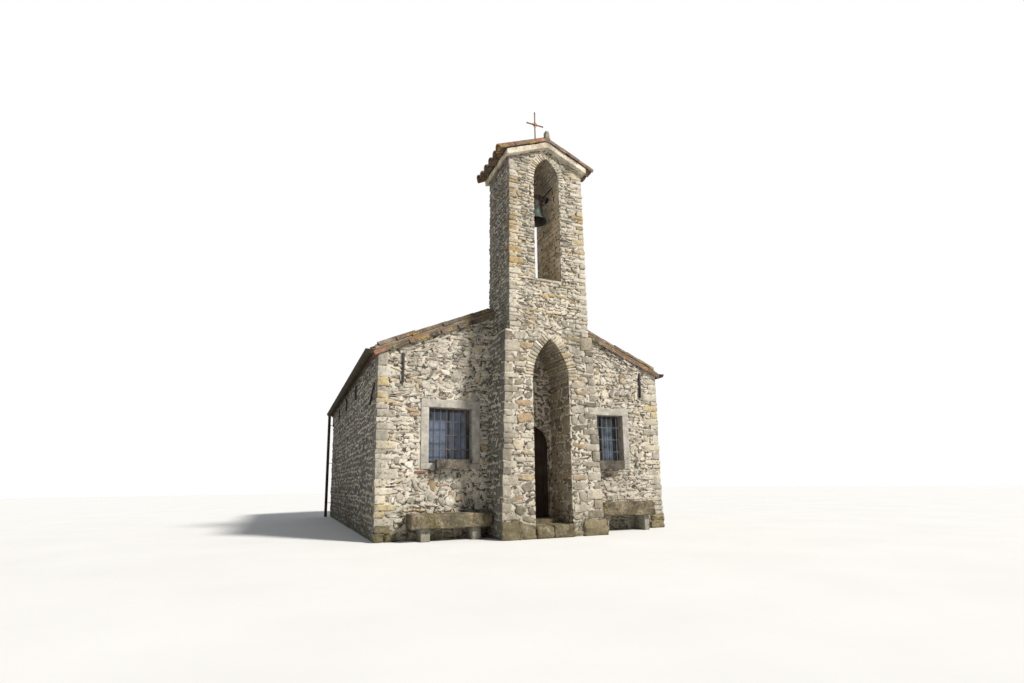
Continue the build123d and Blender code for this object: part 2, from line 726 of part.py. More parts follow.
def bell_yoke():
    """Return the headstock with its two gudgeons, hanger and lever."""
    half = YOKE_LENGTH / 2
    y = TOWER_MID_Y
    beam = block(
        -half, half, y - YOKE_DEPTH / 2, y + YOKE_DEPTH / 2,
        BELL_AXIS_HEIGHT - YOKE_HEIGHT / 2, BELL_AXIS_HEIGHT + YOKE_HEIGHT / 2,
    )
    reach = BELFRY_OPENING - 2 * MASON_GAP
    gudgeon = Pos(0, y, BELL_AXIS_HEIGHT) * Rot(0, 90, 0) * Cylinder(GUDGEON_RADIUS, reach)
    hanger = Pos(0, y, (BELL_TOP + BELL_AXIS_HEIGHT) / 2) * Cylinder(
        BELL_MOUTH_RADIUS / 5, BELL_AXIS_HEIGHT - BELL_TOP
    )
    lever_x = half - LEVER_BAR
    lever = block(
        lever_x - LEVER_BAR / 2, lever_x + LEVER_BAR / 2, y - YOKE_DEPTH / 2 - LEVER_LENGTH, y,
        BELL_AXIS_HEIGHT, BELL_AXIS_HEIGHT + LEVER_BAR,
    )
    return beam + gudgeon + hanger + lever


def bell_bearings():
    """Return the two iron plates in the jambs that carry the gudgeons."""
    x1 = BELFRY_OPENING / 2
    x0 = x1 - BEARING_THICKNESS
    half = BEARING_BLOCK / 2
    y = TOWER_MID_Y
    plate = block(x0, x1, y - half, y + half, BELL_AXIS_HEIGHT - half, BELL_AXIS_HEIGHT + half)
    bore = Pos((x0 + x1) / 2, y, BELL_AXIS_HEIGHT) * Rot(0, 90, 0) * Cylinder(
        GUDGEON_RADIUS + GUDGEON_CLEARANCE, BEARING_THICKNESS
    )
    return pair(plate - bore)


def turned_ball(radius):
    """Return a ball turned in straight facets."""
    angles = [pi * step / BALL_FACETS for step in range(1, BALL_FACETS)]
    side = [(radius * sin(a), radius * cos(a)) for a in angles]
    return revolve(Plane.XZ * make_face(Polyline((0, radius), *side, (0, -radius), close=True)), Axis.Z)


def bell_clapper():
    """Return the clapper: an eye under the crown, its rod and its ball."""
    y = TOWER_MID_Y
    ball_z = BELL_LIP + CLAPPER_BALL
    rod_top = CLAPPER_PIVOT
    rod = Pos(0, y, (rod_top + ball_z) / 2) * Cylinder(CLAPPER_ROD, rod_top - ball_z)
    ball = Pos(0, y, ball_z) * turned_ball(CLAPPER_BALL)
    across = Pos(0, y, rod_top) * Rot(0, 90, 0)
    eye = across * Cylinder(CLAPPER_ROD * 2, CLAPPER_EYE_WIDTH)
    bore = across * Cylinder(STAPLE_PIN + GUDGEON_CLEARANCE, CLAPPER_EYE_WIDTH)
    tail = Pos(0, y, ball_z - CLAPPER_BALL - CLAPPER_TAIL / 3) * Cylinder(CLAPPER_ROD, CLAPPER_TAIL)
    return rod + ball + eye + tail - bore


# Rainwater goods
GUTTER_X = DRIP_X + GUTTER_RADIUS / 2
GUTTER_RIM = roof_z(DRIP_X) + DECK_RISE - MASON_GAP


def gutters():
    outer = GUTTER_RADIUS
    inner = GUTTER_RADIUS - GUTTER_SKIN
    ring = Pos(GUTTER_X, GUTTER_RIM) * (Circle(outer) - Circle(inner))
    lower = Pos(GUTTER_X, GUTTER_RIM - outer) * Rectangle(4 * outer, 2 * outer)
    y0 = MASON_GAP - VERGE_OVERHANG
    y1 = NAVE_LENGTH + VERGE_OVERHANG - MASON_GAP
    trough = run_back(ring & lower, y0, y1)
    end = run_back(Pos(GUTTER_X, GUTTER_RIM) * Circle(inner) & lower, 0, GUTTER_SKIN)
    front = Pos(0, y0, 0) * end
    rear = Pos(0, y1 - GUTTER_SKIN, 0) * end
    trough += front + rear
    pitch = (y1 - y0) / HANGER_COUNT
    for number in range(HANGER_COUNT):
        y = y0 + (number + 0.5) * pitch
        x0 = EAVE_X + MASON_GAP
        x1 = GUTTER_X + outer - GUTTER_SKIN / 2
        trough += block(x0, x1, y - HANGER_WIDTH / 2, y + HANGER_WIDTH / 2, GUTTER_RIM - GUTTER_SKIN, GUTTER_RIM)
    return pair(trough)


def downpipes():
    y = NAVE_LENGTH - DOWNPIPE_RADIUS * 2
    top = GUTTER_RIM - GUTTER_RADIUS
    pipe = Pos(GUTTER_X, y, (top + DOWNPIPE_FOOT) / 2) * Cylinder(DOWNPIPE_RADIUS, top - DOWNPIPE_FOOT)
    return pair(pipe)


# Iron anchors on the walls
def front_wall_anchors():
    half = ANCHOR_WIDTH / 2
    x = ANCHOR_FRONT_X
    top = EAVE_HEIGHT - ANCHOR_FRONT_DROP
    return pair(block(x - half, x + half, -ANCHOR_PROUD, -MASON_GAP, top - ANCHOR_FRONT_LENGTH, top))


def side_wall_anchors():
    """Return the bars on both side walls: one leans near the front corner, the rest stand under the eaves."""
    half = ANCHOR_WIDTH / 2
    x0 = HALF + MASON_GAP
    x1 = HALF + ANCHOR_PROUD
    z1 = EAVE_HEIGHT - ANCHOR_SIDE_DROP
    step = (NAVE_LENGTH - ANCHOR_SIDE_END - ANCHOR_SIDE_FIRST) / (ANCHOR_SIDE_COUNT - 1)
    leaning = block(x0, x1, -half, half, -ANCHOR_LEANING_LENGTH / 2, ANCHOR_LEANING_LENGTH / 2)
    bars = [Pos(0, ANCHOR_LEANING_Y, ANCHOR_LEANING_Z) * Rot(ANCHOR_LEANING_TILT, 0, 0) * leaning]
    for number in range(ANCHOR_SIDE_COUNT):
        y = ANCHOR_SIDE_FIRST + number * step
        bars.append(block(x0, x1, y - half, y + half, z1 - ANCHOR_LENGTH, z1))
    return Compound(children=[solid for bar in bars for solid in pair(bar).solids()])


# Benches and base stones
def bench(inner, length, top, thickness):
    """Return a bench's slab on the right of the middle, its back against the wall."""
    return block(inner, inner + length, -BENCH_DEPTH, 0, top - thickness, top)


def bench_legs_under(inner, length, height, leg, inset):
    """Return the two legs of a bench on the right of the middle."""
    first = block(inner + inset, inner + inset + leg, -BENCH_LEG_DEPTH, 0, 0, height)
    outer = inner + length - inset
    second = block(outer - leg, outer, -BENCH_LEG_DEPTH, 0, 0, height)
    return [first, second]


def bench_slabs():
    left = mirrored(bench(LEFT_BENCH_INNER, LEFT_BENCH_LENGTH, LEFT_BENCH_TOP, LEFT_BENCH_SLAB))
    right = bench(RIGHT_BENCH_INNER, RIGHT_BENCH_LENGTH, RIGHT_BENCH_TOP, RIGHT_BENCH_SLAB)
    return Compound(children=[*left.solids(), *right.solids()])


def bench_legs():
    left = bench_legs_under(
        LEFT_BENCH_INNER, LEFT_BENCH_LENGTH, LEFT_BENCH_TOP - LEFT_BENCH_SLAB, LEFT_BENCH_LEG, LEFT_BENCH_LEG_INSET
    )
    right = bench_legs_under(
        RIGHT_BENCH_INNER, RIGHT_BENCH_LENGTH, RIGHT_BENCH_TOP - RIGHT_BENCH_SLAB, RIGHT_BENCH_LEG,
        RIGHT_BENCH_LEG_INSET,
    )
    legs = [mirrored(leg) for leg in left] + right
    return Compound(children=[solid for leg in legs for solid in leg.solids()])


def base_stones():
    """Return the footing stones in front of the porch and the low stones at the front corners."""
    y0 = -BASE_STONE_FRONT
    y1 = -TOWER_PROJECTION
    left = -PORCH_BASE_WIDTH / 2 - BASE_STONE_OUT
    inner = -NICHE_WIDTH / 2 - LOW_STONE_GAP
    middle = inner - LOW_STONE_WIDTH
    start = NICHE_WIDTH / 2 + RIGHT_STONE_GAP
    right = PORCH_BASE_WIDTH / 2 + RIGHT_STONE_OUT
    stones = [
        block(left, middle - MASON_GAP, y0, y1, 0, BASE_STONE_HEIGHT),
        block(middle, inner, y0, y1, 0, LOW_STONE_HEIGHT),
        block(start, right, y0, y1, 0, RIGHT_STONE_HEIGHT),
    ]
    corner = block(HALF - CORNER_STONE_LENGTH, HALF, -CORNER_STONE_PROUD, 0, 0, CORNER_STONE_HEIGHT)
    return Compound(children=[*stones, *pair(corner).solids()])


PARTS = {
    "front_wall_left": mirrored(front_wall_right()),
    "front_wall_right": front_wall_right(),
    "front_wall_over_door": front_wall_over_door(),
    "door_jambs": door_jambs(),
    "side_wall_left": mirrored(side_wall_right()),
    "side_wall_right": side_wall_right(),
    "rear_wall": rear_wall(),
    "nave_floor": nave_floor(),
    "door_threshold": door_threshold(),
    "porch_step": porch_step(),
    "porch_pier_left": mirrored(porch_pier_right()),
    "porch_pier_right": porch_pier_right(),
    "porch_arch": porch_arch(),
    "tower_shaft": tower_shaft(),
    "belfry_pier_left": mirrored(belfry_pier_right()),
    "belfry_pier_right": belfry_pier_right(),
    "belfry_arch": belfry_arch(),
    "tower_roof_bed": tower_roof_bed(),
    "tower_roof_tiles": tower_roof_tiles(),
    "tower_ridge_tiles": tower_ridge_tiles(),
    "roof_cross": roof_cross(),
    "roof_deck_left": mirrored(roof_deck_right()),
    "roof_deck_right": roof_deck_right(),
    "roof_tiles_left": mirrored(roof_tiles_right()),
    "roof_tiles_right": roof_tiles_right(),
    "roof_ridge_tiles": roof_ridge_tiles(),
    "front_verge_tiles": pair(front_verge_right()),
    "rear_verge_tiles": pair(rear_verge_right()),
    "roof_beams": roof_beams(),
    "window_lintels": window_lintels(),
    "window_jambs": window_jambs(),
    "window_sills": window_sills(),
    "window_casements": window_casements(),
    "window_glass": window_glass(),
    "window_grilles": window_grilles(),
    "planter_boxes": planter_boxes(),
    "door_leaf": door_leaf(),
    "door_strap_hinges": door_strap_hinges(),
    "door_pintles": door_pintles(),
    "bell": bell(),
    "bell_yoke": bell_yoke(),
    "bell_clapper": bell_clapper(),
    "bell_bearings": bell_bearings(),
    "gutters": gutters(),
    "downpipes": downpipes(),
    "front_wall_anchors": front_wall_anchors(),
    "side_wall_anchors": side_wall_anchors(),
    "bench_slabs": bench_slabs(),
    "bench_legs": bench_legs(),
    "base_stones": base_stones(),
}

os.makedirs("parts", exist_ok=True)
for name, shape in PARTS.items():
    export_step(Pos(0, ORIGIN_SHIFT, 0) * shape, f"parts/{name}.step")
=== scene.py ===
"""Looks of a small rubble-stone chapel with a belfry tower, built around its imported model.

All sizes are in metres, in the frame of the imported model: +Z is up, the front faces -Y,
and the origin is on the ground under the middle of the building.
"""
import json
import logging
import math
import random
from dataclasses import dataclass, field, replace
from enum import Enum
from functools import partial
from typing import Callable, Optional, Sequence

import bpy
import numpy as np
from mathutils import Matrix, Vector, noise


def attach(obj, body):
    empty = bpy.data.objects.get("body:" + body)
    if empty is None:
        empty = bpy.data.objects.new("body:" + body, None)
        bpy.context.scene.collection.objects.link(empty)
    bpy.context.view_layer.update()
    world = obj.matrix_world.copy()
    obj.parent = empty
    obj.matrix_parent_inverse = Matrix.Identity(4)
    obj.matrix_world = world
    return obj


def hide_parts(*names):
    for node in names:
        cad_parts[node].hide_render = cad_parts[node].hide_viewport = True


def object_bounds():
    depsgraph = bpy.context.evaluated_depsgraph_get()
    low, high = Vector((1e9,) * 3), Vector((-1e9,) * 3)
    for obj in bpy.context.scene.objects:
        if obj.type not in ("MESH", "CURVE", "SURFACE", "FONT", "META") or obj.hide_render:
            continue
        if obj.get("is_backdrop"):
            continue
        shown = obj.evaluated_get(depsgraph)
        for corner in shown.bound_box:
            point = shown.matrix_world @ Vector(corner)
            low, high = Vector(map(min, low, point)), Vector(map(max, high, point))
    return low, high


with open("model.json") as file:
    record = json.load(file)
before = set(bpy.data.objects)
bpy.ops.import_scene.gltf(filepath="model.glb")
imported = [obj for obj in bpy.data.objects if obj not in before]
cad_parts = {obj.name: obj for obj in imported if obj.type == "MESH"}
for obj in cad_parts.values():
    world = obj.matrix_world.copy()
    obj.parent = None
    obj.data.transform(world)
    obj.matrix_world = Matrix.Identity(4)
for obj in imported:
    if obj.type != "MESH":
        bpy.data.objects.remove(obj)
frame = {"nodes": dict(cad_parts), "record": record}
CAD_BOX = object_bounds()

logging.basicConfig(level=logging.INFO, format="%(message)s")
LOG = logging.getLogger("chapel")

Colour = Triple = tuple[float, float, float]
Palette = tuple[tuple[float, Colour], ...]
Pair = tuple[float, float]
Spans = Callable[[float], list[Pair]]
Thing = bpy.types.Object
Socket = bpy.types.NodeSocket

SIDES = ((-1, "left"), (1, "right"))


class Body(Enum):
    """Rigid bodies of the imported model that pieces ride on."""

    CHAPEL = "chapel"
    DOOR = "door"
    BELL = "bell"
    CLAPPER = "clapper"


# Shader boards and shared effects


class Board:
    """One node tree while it is filled, with short calls for the nodes used most."""

    def __init__(self, tree: bpy.types.NodeTree) -> None:
        """Keep the tree that the nodes go into."""
        self.tree = tree

    def node(self, kind: str, inputs: Optional[dict] = None, **settings: object) -> bpy.types.Node:
        """Add a shader node.

        Args:
            kind: its type, without "ShaderNode".
            inputs: socket name or number to a constant or to an output socket.
            settings: options of the node itself.

        Returns:
            The node.
        """
        made = self.tree.nodes.new("ShaderNode" + kind)
        for key, value in settings.items():
            setattr(made, key, value)
        for key, value in (inputs or {}).items():
            socket = made.inputs[key]
            if isinstance(value, Socket):
                self.tree.links.new(value, socket)
            elif socket.type == "RGBA" and len(value) == 3:
                socket.default_value = (*value, 1)
            else:
                socket.default_value = value
        return made

    def noise(self, vector: Socket, scale: object, detail: float = 4, rough: float = 0.55, warp: float = 0) -> Socket:
        """Return the value of a noise texture."""
        inputs = {"Vector": vector, "Scale": scale, "Detail": detail, "Roughness": rough, "Distortion": warp}
        return self.node("TexNoise", inputs).outputs["Fac"]

    def ramp(self, value: Socket, *stops: tuple[float, object]) -> Socket:
        """Return a value or colour looked up between stops.

        Args:
            value: the socket to look up.
            stops: pairs of a place from 0 to 1 and a grey value or a colour.

        Returns:
            The ramp's colour.
        """
        made = self.node("ValToRGB", {0: value})
        elements = made.color_ramp.elements
        while len(elements) < len(stops):
            elements.new(0.5)
        for element, (place, colour) in zip(elements, stops):
            element.position = place
            element.color = (*colour, 1) if isinstance(colour, tuple) else (colour, colour, colour, 1)
        return made.outputs["Color"]

    def mix(self, share: object, first: object, second: object, blend: str = "MIX") -> Socket:
        """Return two colours mixed by a share."""
        return self.node("Mix", {0: share, 6: first, 7: second}, data_type="RGBA", blend_type=blend).outputs[2]

    def sum(self, action: str, first: object, second: object) -> Socket:
        """Return the clamped result of one sum with two values."""
        return self.node("Math", {0: first, 1: second}, operation=action, use_clamp=True).outputs[0]

    def times(self, first: object, second: object) -> Socket:
        """Return the clamped product of two values."""
        return self.sum("MULTIPLY", first, second)

    def fade(self, value: Socket, start: float, stop: float, top: float = 1.0) -> Socket:
        """Return 0 where a value is at the start and the top value where it is at the stop."""
        return self.node("MapRange", {0: value, 1: start, 2: stop, 3: 0.0, 4: top}).outputs[0]

    def where(self, output: str = "Object") -> Socket:
        """Return the place on the piece, in metres, or another output of the coordinates."""
        return self.node("TexCoord").outputs[output]

    def stretched(self, vector: Socket, scale: Colour) -> Socket:
        """Return a place stretched by three factors."""
        return self.node("Mapping", {"Vector": vector, "Scale": scale}).outputs[0]

    def parts(self, vector: Socket) -> Sequence[Socket]:
        """Return a vector's three parts."""
        return self.node("SeparateXYZ", {0: vector}).outputs

    def attribute(self, name: str) -> Socket:
        """Return the value of one of the mesh's attributes."""
        return self.node("Attribute", attribute_name=name).outputs["Fac"]

    def effect(self, effect: "Effect", *inputs: object) -> Sequence[Socket]:
        """Place a shared effect, with its inputs in order, and return its outputs."""
        return self.node("Group", dict(enumerate(inputs)), node_tree=EffectShelf.tree(effect)).outputs


class Effect(Enum):
    """Effects that more than one finish uses: name of the group, its inputs and its outputs."""

    MOTTLE = ("mottle", "Color Vector Scale Amount", "Color Height")
    WEATHER = ("weather", "Color Vector Stain Lichen Damp", "Color Rough")
    GRAIN = ("grain", "Dark Light Vector", "Color Height")
    RUST = ("rust", "Color Vector Amount", "Color Mask Height")


class EffectShelf:
    """Builds each shared effect once, as a node group."""

    KINDS = {"Color": "Color", "Dark": "Color", "Light": "Color", "Vector": "Vector"}

    @classmethod
    def tree(cls, effect: Effect) -> bpy.types.NodeTree:
        """Return an effect's node group, built the first time.

        Args:
            effect: which effect.

        Returns:
            The node group.
        """
        name, inputs, outputs = effect.value
        tree = bpy.data.node_groups.get(name)
        if tree:
            return tree
        tree = bpy.data.node_groups.new(name, "ShaderNodeTree")
        for way, words in (("INPUT", inputs), ("OUTPUT", outputs)):
            for word in words.split():
                tree.interface.new_socket(word, in_out=way, socket_type="NodeSocket" + cls.KINDS.get(word, "Float"))
        given, out = tree.nodes.new("NodeGroupInput"), tree.nodes.new("NodeGroupOutput")
        for number, socket in enumerate(getattr(cls, name)(Board(tree), *given.outputs[:-1])):
            tree.links.new(socket, out.inputs[number])
        return tree

    @staticmethod
    def mottle(board: Board, *given: Socket) -> tuple[Socket, ...]:
        """Build patches of lighter and darker colour at two sizes.

        Args:
            board: the group's board.
            given: colour, vector, scale and amount.

        Returns:
            Colour and height.
        """
        colour, vector, scale, amount = given
        wide, fine = board.noise(vector, scale, 6, 0.62), board.noise(vector, 95, 3, 0.6)
        both = board.sum("ADD", board.times(wide, 0.72), board.times(fine, 0.28))
        shaded = board.mix(amount, colour, board.ramp(both, (0.30, 0.42), (0.5, 0.92), (0.68, 1.0)), "MULTIPLY")
        glow = board.times(board.ramp(both, (0.52, 0.0), (0.72, 1.0)), 0.30)
        return board.mix(glow, shaded, (0.86, 0.82, 0.72)), both

    @staticmethod
    def weather(board: Board, *given: Socket) -> tuple[Socket, ...]:
        """Build sooty streaks, lichen spots and damp green near the ground.

        Args:
            board: the group's board.
            given: colour, vector and the amounts of stain, lichen and damp.

        Returns:
            Colour and roughness.
        """
        colour, vector, stain, lichen, damp = given
        long_noise = board.noise(board.stretched(vector, (1.6, 1.6, 0.45)), 1.9, 7, 0.66)
        streak = board.ramp(long_noise, (0.46, 0.0), (0.63, 1.0))
        stained = board.mix(board.times(streak, stain), colour, (0.13, 0.125, 0.10))
        patch = board.ramp(board.noise(vector, 2.6, 5, 0.6), (0.54, 0.0), (0.66, 1.0))
        spots = board.ramp(board.noise(vector, 34, 4, 0.7), (0.52, 0.0), (0.60, 1.0))
        grown = board.times(board.times(patch, spots), lichen)
        speckled = board.mix(grown, stained, (0.52, 0.42, 0.10))
        low = board.fade(board.parts(vector)[2], 0.70, 0.05)
        wet = board.times(board.times(low, board.times(board.noise(vector, 3.2, 5), 1.25)), damp)
        return board.mix(wet, speckled, (0.115, 0.105, 0.055)), board.sum("SUBTRACT", 0.96, board.times(grown, 0.1))

    @staticmethod
    def grain(board: Board, *given: Socket) -> tuple[Socket, ...]:
        """Build long timber grain.

        Args:
            board: the group's board.
            given: dark colour, light colour and stretched vector.

        Returns:
            Colour and height.
        """
        lines = board.ramp(board.noise(given[2], 9, 8, 0.7, 0.6), (0.34, 0.0), (0.5, 0.55), (0.64, 1.0))
        return board.mix(lines, given[0], given[1]), lines

    @staticmethod
    def rust(board: Board, *given: Socket) -> tuple[Socket, ...]:
        """Build rust patches over painted or bare metal.

        Args:
            board: the group's board.
            given: colour, vector and amount.

        Returns:
            Colour, mask and height.
        """
        colour, vector, amount = given
        clouds = board.noise(vector, 13, 7, 0.68)
        mask = board.times(board.ramp(clouds, (0.44, 0.0), (0.58, 1.0)), amount)
        tint = board.ramp(board.noise(vector, 60, 4), (0.3, (0.10, 0.045, 0.02)), (0.7, (0.33, 0.14, 0.06)))
        return board.mix(mask, colour, tint), mask, clouds


# Finishes


@dataclass(frozen=True)
class Finish:
    """A finish: a named material that is built once.

    The slot is the record's material slot, depth is how far the bump stands, in metres, and gloss
    is how strongly the surface mirrors.
    """

    name: str
    slot: str
    rough: float = 0.9
    metal: float = 0.0
    depth: float = 0.004
    gloss: float = 0.15

    def material(self) -> bpy.types.Material:
        """Build the material, or find it if it is built already.

        Returns:
            The material.
        """
        made = bpy.data.materials.get(self.name)
        if made:
            return made
        made = bpy.data.materials.new(self.name)
        made.use_nodes = True
        made.node_tree.nodes.clear()
        board = Board(made.node_tree)
        colour, height, rough = self.surface(board)
        bump = board.node("Bump", {"Height": height, "Distance": self.depth, "Strength": 1.0})
        shader = board.node("BsdfPrincipled", {"Base Color": colour, "Normal": bump.outputs[0], "Roughness": rough})
        shader.inputs["Metallic"].default_value = self.metal
        shader.inputs["Specular IOR Level"].default_value = self.gloss
        self.dress(shader)
        board.node("OutputMaterial", {"Surface": shader.outputs[0]})
        return made

    def surface(self, board: Board) -> tuple:
        """Return the colour, the bump's height and the roughness."""
        raise NotImplementedError

    def dress(self, shader: bpy.types.Node) -> None:
        """Set plain values on the shader itself; most finishes need none."""


@dataclass(frozen=True)
class StoneFinish(Finish):
    """Stones with smeared mortar, sooty streaks, lichen and damp, each with a tone of its own if toned.

    Painted shade darkens faces turned to -X, the side in shade, and faces that look down, as under an arch.
    """

    slot: str = "rubble_stone"
    palette: Palette = ()
    smear: float = 0.5
    smear_colour: Colour = (0.60, 0.54, 0.43)
    stain: float = 0.35
    lichen: float = 0.3
    damp: float = 0.8
    toned: bool = True
    scale: float = 11.0
    pits: float = 0.7
    groove: float = 0.8
    side_shade: float = 0.0
    underside_shade: float = 0.0

    def surface(self, board: Board) -> tuple:
        """Paint weathered stone.

        Args:
            board: the material's board.

        Returns:
            Colour, height and roughness.
        """
        place = board.where()
        tone = board.attribute("tone") if self.toned else board.noise(place, 3.6, 8, 0.66)
        if not self.toned:
            tone = board.ramp(tone, (0.36, 0.0), (0.64, 1.0))
        base = board.ramp(tone, *self.palette)
        mottled, uneven = board.effect(Effect.MOTTLE, base, place, self.scale, 0.75)
        film = board.ramp(board.noise(place, 4.1, 7, 0.66), (0.47, 0.0), (0.60, 1.0))
        crumbs = board.ramp(board.noise(place, 27, 5, 0.7), (0.40, 0.2), (0.56, 1.0))
        smeared = board.mix(board.times(board.times(film, crumbs), self.smear), mottled, self.smear_colour)
        aged, rough = board.effect(Effect.WEATHER, smeared, place, self.stain, self.lichen, self.damp)
        pitted = board.ramp(board.noise(place, 24, 5, 0.62), (0.36, 0.85), (0.44, 0.0))
        hollow = board.times(board.attribute("hollow"), self.groove)
        turned = board.parts(board.where("Normal"))
        # Painted shade: faces turned to -X, the side that lies in shade, are darkened to a cool grey.
        aged = board.mix(board.fade(turned[0], -0.35, -0.85, self.side_shade), aged, (0.092, 0.098, 0.097))
        # Painted shade: faces that look down, as under an arch, are darkened to brown.
        aged = board.mix(board.fade(turned[2], -0.02, -0.30, self.underside_shade), aged, (0.135, 0.105, 0.070))
        # Painted shade: near-black on the stones' sides deep in the joints and in the pits that the bump carves.
        colour = board.mix(board.sum("MAXIMUM", hollow, board.times(pitted, self.pits)), aged, (0.075, 0.064, 0.048))
        chips = board.node("TexVoronoi", {"Vector": place, "Scale": 42}).outputs["Distance"]
        height = board.sum("ADD", board.times(uneven, 0.7), board.times(chips, 0.3))
        return colour, board.sum("SUBTRACT", height, board.times(pitted, self.pits * 0.5)), rough


@dataclass(frozen=True)
class TileFinish(Finish):
    """Clay tiles with a tone of their own, lichen and a sooty grey veil."""

    palette: Palette = ()
    lichen: float = 0.95

    def surface(self, board: Board) -> tuple:
        """Paint weathered clay tiles.

        Args:
            board: the material's board.

        Returns:
            Colour, height and roughness.
        """
        place = board.where()
        base = board.ramp(board.attribute("tone"), *self.palette)
        mottled, uneven = board.effect(Effect.MOTTLE, base, place, 7.0, 0.85)
        grey = board.ramp(board.noise(place, 3.3, 6, 0.68), (0.44, 0.0), (0.58, 0.8))
        greyed = board.mix(grey, mottled, (0.105, 0.095, 0.072))
        patch = board.ramp(board.noise(place, 5.2, 5), (0.53, 0.0), (0.62, 1.0))
        spots = board.ramp(board.noise(place, 48, 4, 0.72), (0.46, 0.0), (0.58, 1.0))
        spotted = board.mix(board.times(board.times(patch, spots), self.lichen), greyed, (0.42, 0.31, 0.06))
        pale = board.ramp(board.noise(place, 46, 5, 0.7), (0.56, 0.0), (0.64, 0.7))
        return board.mix(pale, spotted, (0.42, 0.40, 0.33)), uneven, self.rough


@dataclass(frozen=True)
class MortarFinish(Finish):
    """Lime mortar: dark in the open joints, pale where it is flush, and plaster inside the nave."""

    dark: Colour = (0.085, 0.070, 0.052)
    pale: Colour = (0.68, 0.62, 0.51)
    plaster: Colour = (0.66, 0.62, 0.54)
    inner: Triple = (2.6, -3.66, 4.52)

    def surface(self, board: Board) -> tuple:
        """Paint mortar, and plaster inside the nave.

        Args:
            board: the material's board.

        Returns:
            Colour, height and roughness.
        """
        place = board.where()
        wide = board.ramp(board.noise(place, 0.9, 5, 0.6), (0.42, 0.0), (0.60, 1.0))
        pits = board.ramp(board.noise(place, 15, 4, 0.6), (0.42, 1.0), (0.50, 0.0))
        worn = board.ramp(board.noise(place, 5.5, 6, 0.66), (0.40, 0.8), (0.56, 0.0))
        open_joint = board.sum("MAXIMUM", pits, board.times(worn, wide))
        base = board.mix(open_joint, self.pale, self.dark)
        mottled, uneven = board.effect(Effect.MOTTLE, base, place, 16.0, 0.6)
        aged = board.effect(Effect.WEATHER, mottled, place, 0.3, 0.15, 0.8)[0]
        x, y, _ = board.parts(place)
        inside = board.sum("LESS_THAN", board.node("Math", {0: x}, operation="ABSOLUTE").outputs[0], self.inner[0])
        inside = board.times(inside, board.sum("GREATER_THAN", y, self.inner[1]))
        inside = board.times(inside, board.sum("LESS_THAN", y, self.inner[2]))
        plaster = board.effect(Effect.MOTTLE, self.plaster, place, 2.0, 0.35)[0]
        height = board.sum("ADD", board.times(uneven, 0.35), board.times(board.noise(place, 130, 3), 0.25))
        raised = board.sum("SUBTRACT", board.sum("ADD", height, 0.4), board.times(open_joint, 0.4))
        return board.mix(inside, aged, plaster), raised, self.rough


@dataclass(frozen=True)
class WoodFinish(Finish):
    """Weathered timber with long grain."""

    dark: Colour = (0.05, 0.033, 0.024)
    light: Colour = (0.15, 0.10, 0.07)
    stretch: Triple = (9.0, 9.0, 0.9)
    wear: float = 0.5

    def surface(self, board: Board) -> tuple:
        """Paint timber.

        Args:
            board: the material's board.

        Returns:
            Colour, height and roughness.
        """
        place = board.where()
        colour, lines = board.effect(Effect.GRAIN, self.dark, self.light, board.stretched(place, self.stretch))
        worn = board.ramp(board.noise(place, 2.8, 6), (0.5, 0.0), (0.72, self.wear))
        return board.mix(worn, colour, (0.24, 0.21, 0.18)), lines, board.ramp(lines, (0.0, 0.72), (1.0, 0.92))


@dataclass(frozen=True)
class MetalFinish(Finish):
    """Iron, bronze or sheet metal with rust, or a green bloom between two heights."""

    base: Colour = (0.06, 0.06, 0.065)
    rust: float = 0.6
    bloom: Optional[Colour] = None
    bloom_heights: Pair = (0.0, 0.0)
    soft: float = 0.035

    def surface(self, board: Board) -> tuple:
        """Paint aged metal.

        Args:
            board: the material's board.

        Returns:
            Colour, height and roughness.
        """
        place = board.where()
        dull, bright = (tuple(c * share for c in self.base) for share in (0.7, 1.35))
        tint = board.ramp(board.noise(place, 6, 5), (0.3, dull), (0.7, bright))
        colour, mask, height = board.effect(Effect.RUST, tint, place, self.rust)
        if self.bloom:
            z, (low, high) = board.parts(place)[2], self.bloom_heights
            band = board.times(
                board.fade(z, low - self.soft, low + self.soft), board.fade(z, high + self.soft, high - self.soft)
            )
            cloudy = board.ramp(board.noise(place, 17, 6, 0.7), (0.38, 0.15), (0.55, 1.0))
            spread = board.ramp(board.noise(place, 9, 6, 0.66), (0.54, 0.0), (0.70, 0.10))
            colour = board.mix(board.sum("MAXIMUM", board.times(band, cloudy), spread), colour, self.bloom)
        return colour, height, board.sum("ADD", board.times(mask, 0.35), self.rough)


@dataclass(frozen=True)
class GlassFinish(Finish):
    """Old window glass: dark, with patches of painted blue sky reflection, slightly wavy, with a film of dust."""

    tint: Colour = (0.17, 0.22, 0.33)
    shade: Colour = (0.07, 0.11, 0.13)
    dust: Colour = (0.25, 0.28, 0.35)

    def surface(self, board: Board) -> tuple:
        """Paint old glass with gentle waves.

        Args:
            board: the material's board.

        Returns:
            Colour, height and roughness.
        """
        place = board.where()
        # Painted reflection: patches of blue sky over the darker glass.
        sky = board.ramp(board.noise(place, 1.6, 3), (0.40, self.tint), (0.60, self.shade))
        colour = board.mix(board.ramp(board.noise(place, 7, 5), (0.50, 0.0), (0.62, 0.5)), sky, self.dust)
        return colour, board.noise(place, 5.5, 2, 0.4), board.ramp(board.noise(place, 12, 5), (0.4, 0.03), (0.75, 0.16))

    def dress(self, shader: bpy.types.Node) -> None:
        """Let some of the light through."""
        shader.inputs["Transmission Weight"].default_value = 0.3
        shader.inputs["IOR"].default_value = 1.45


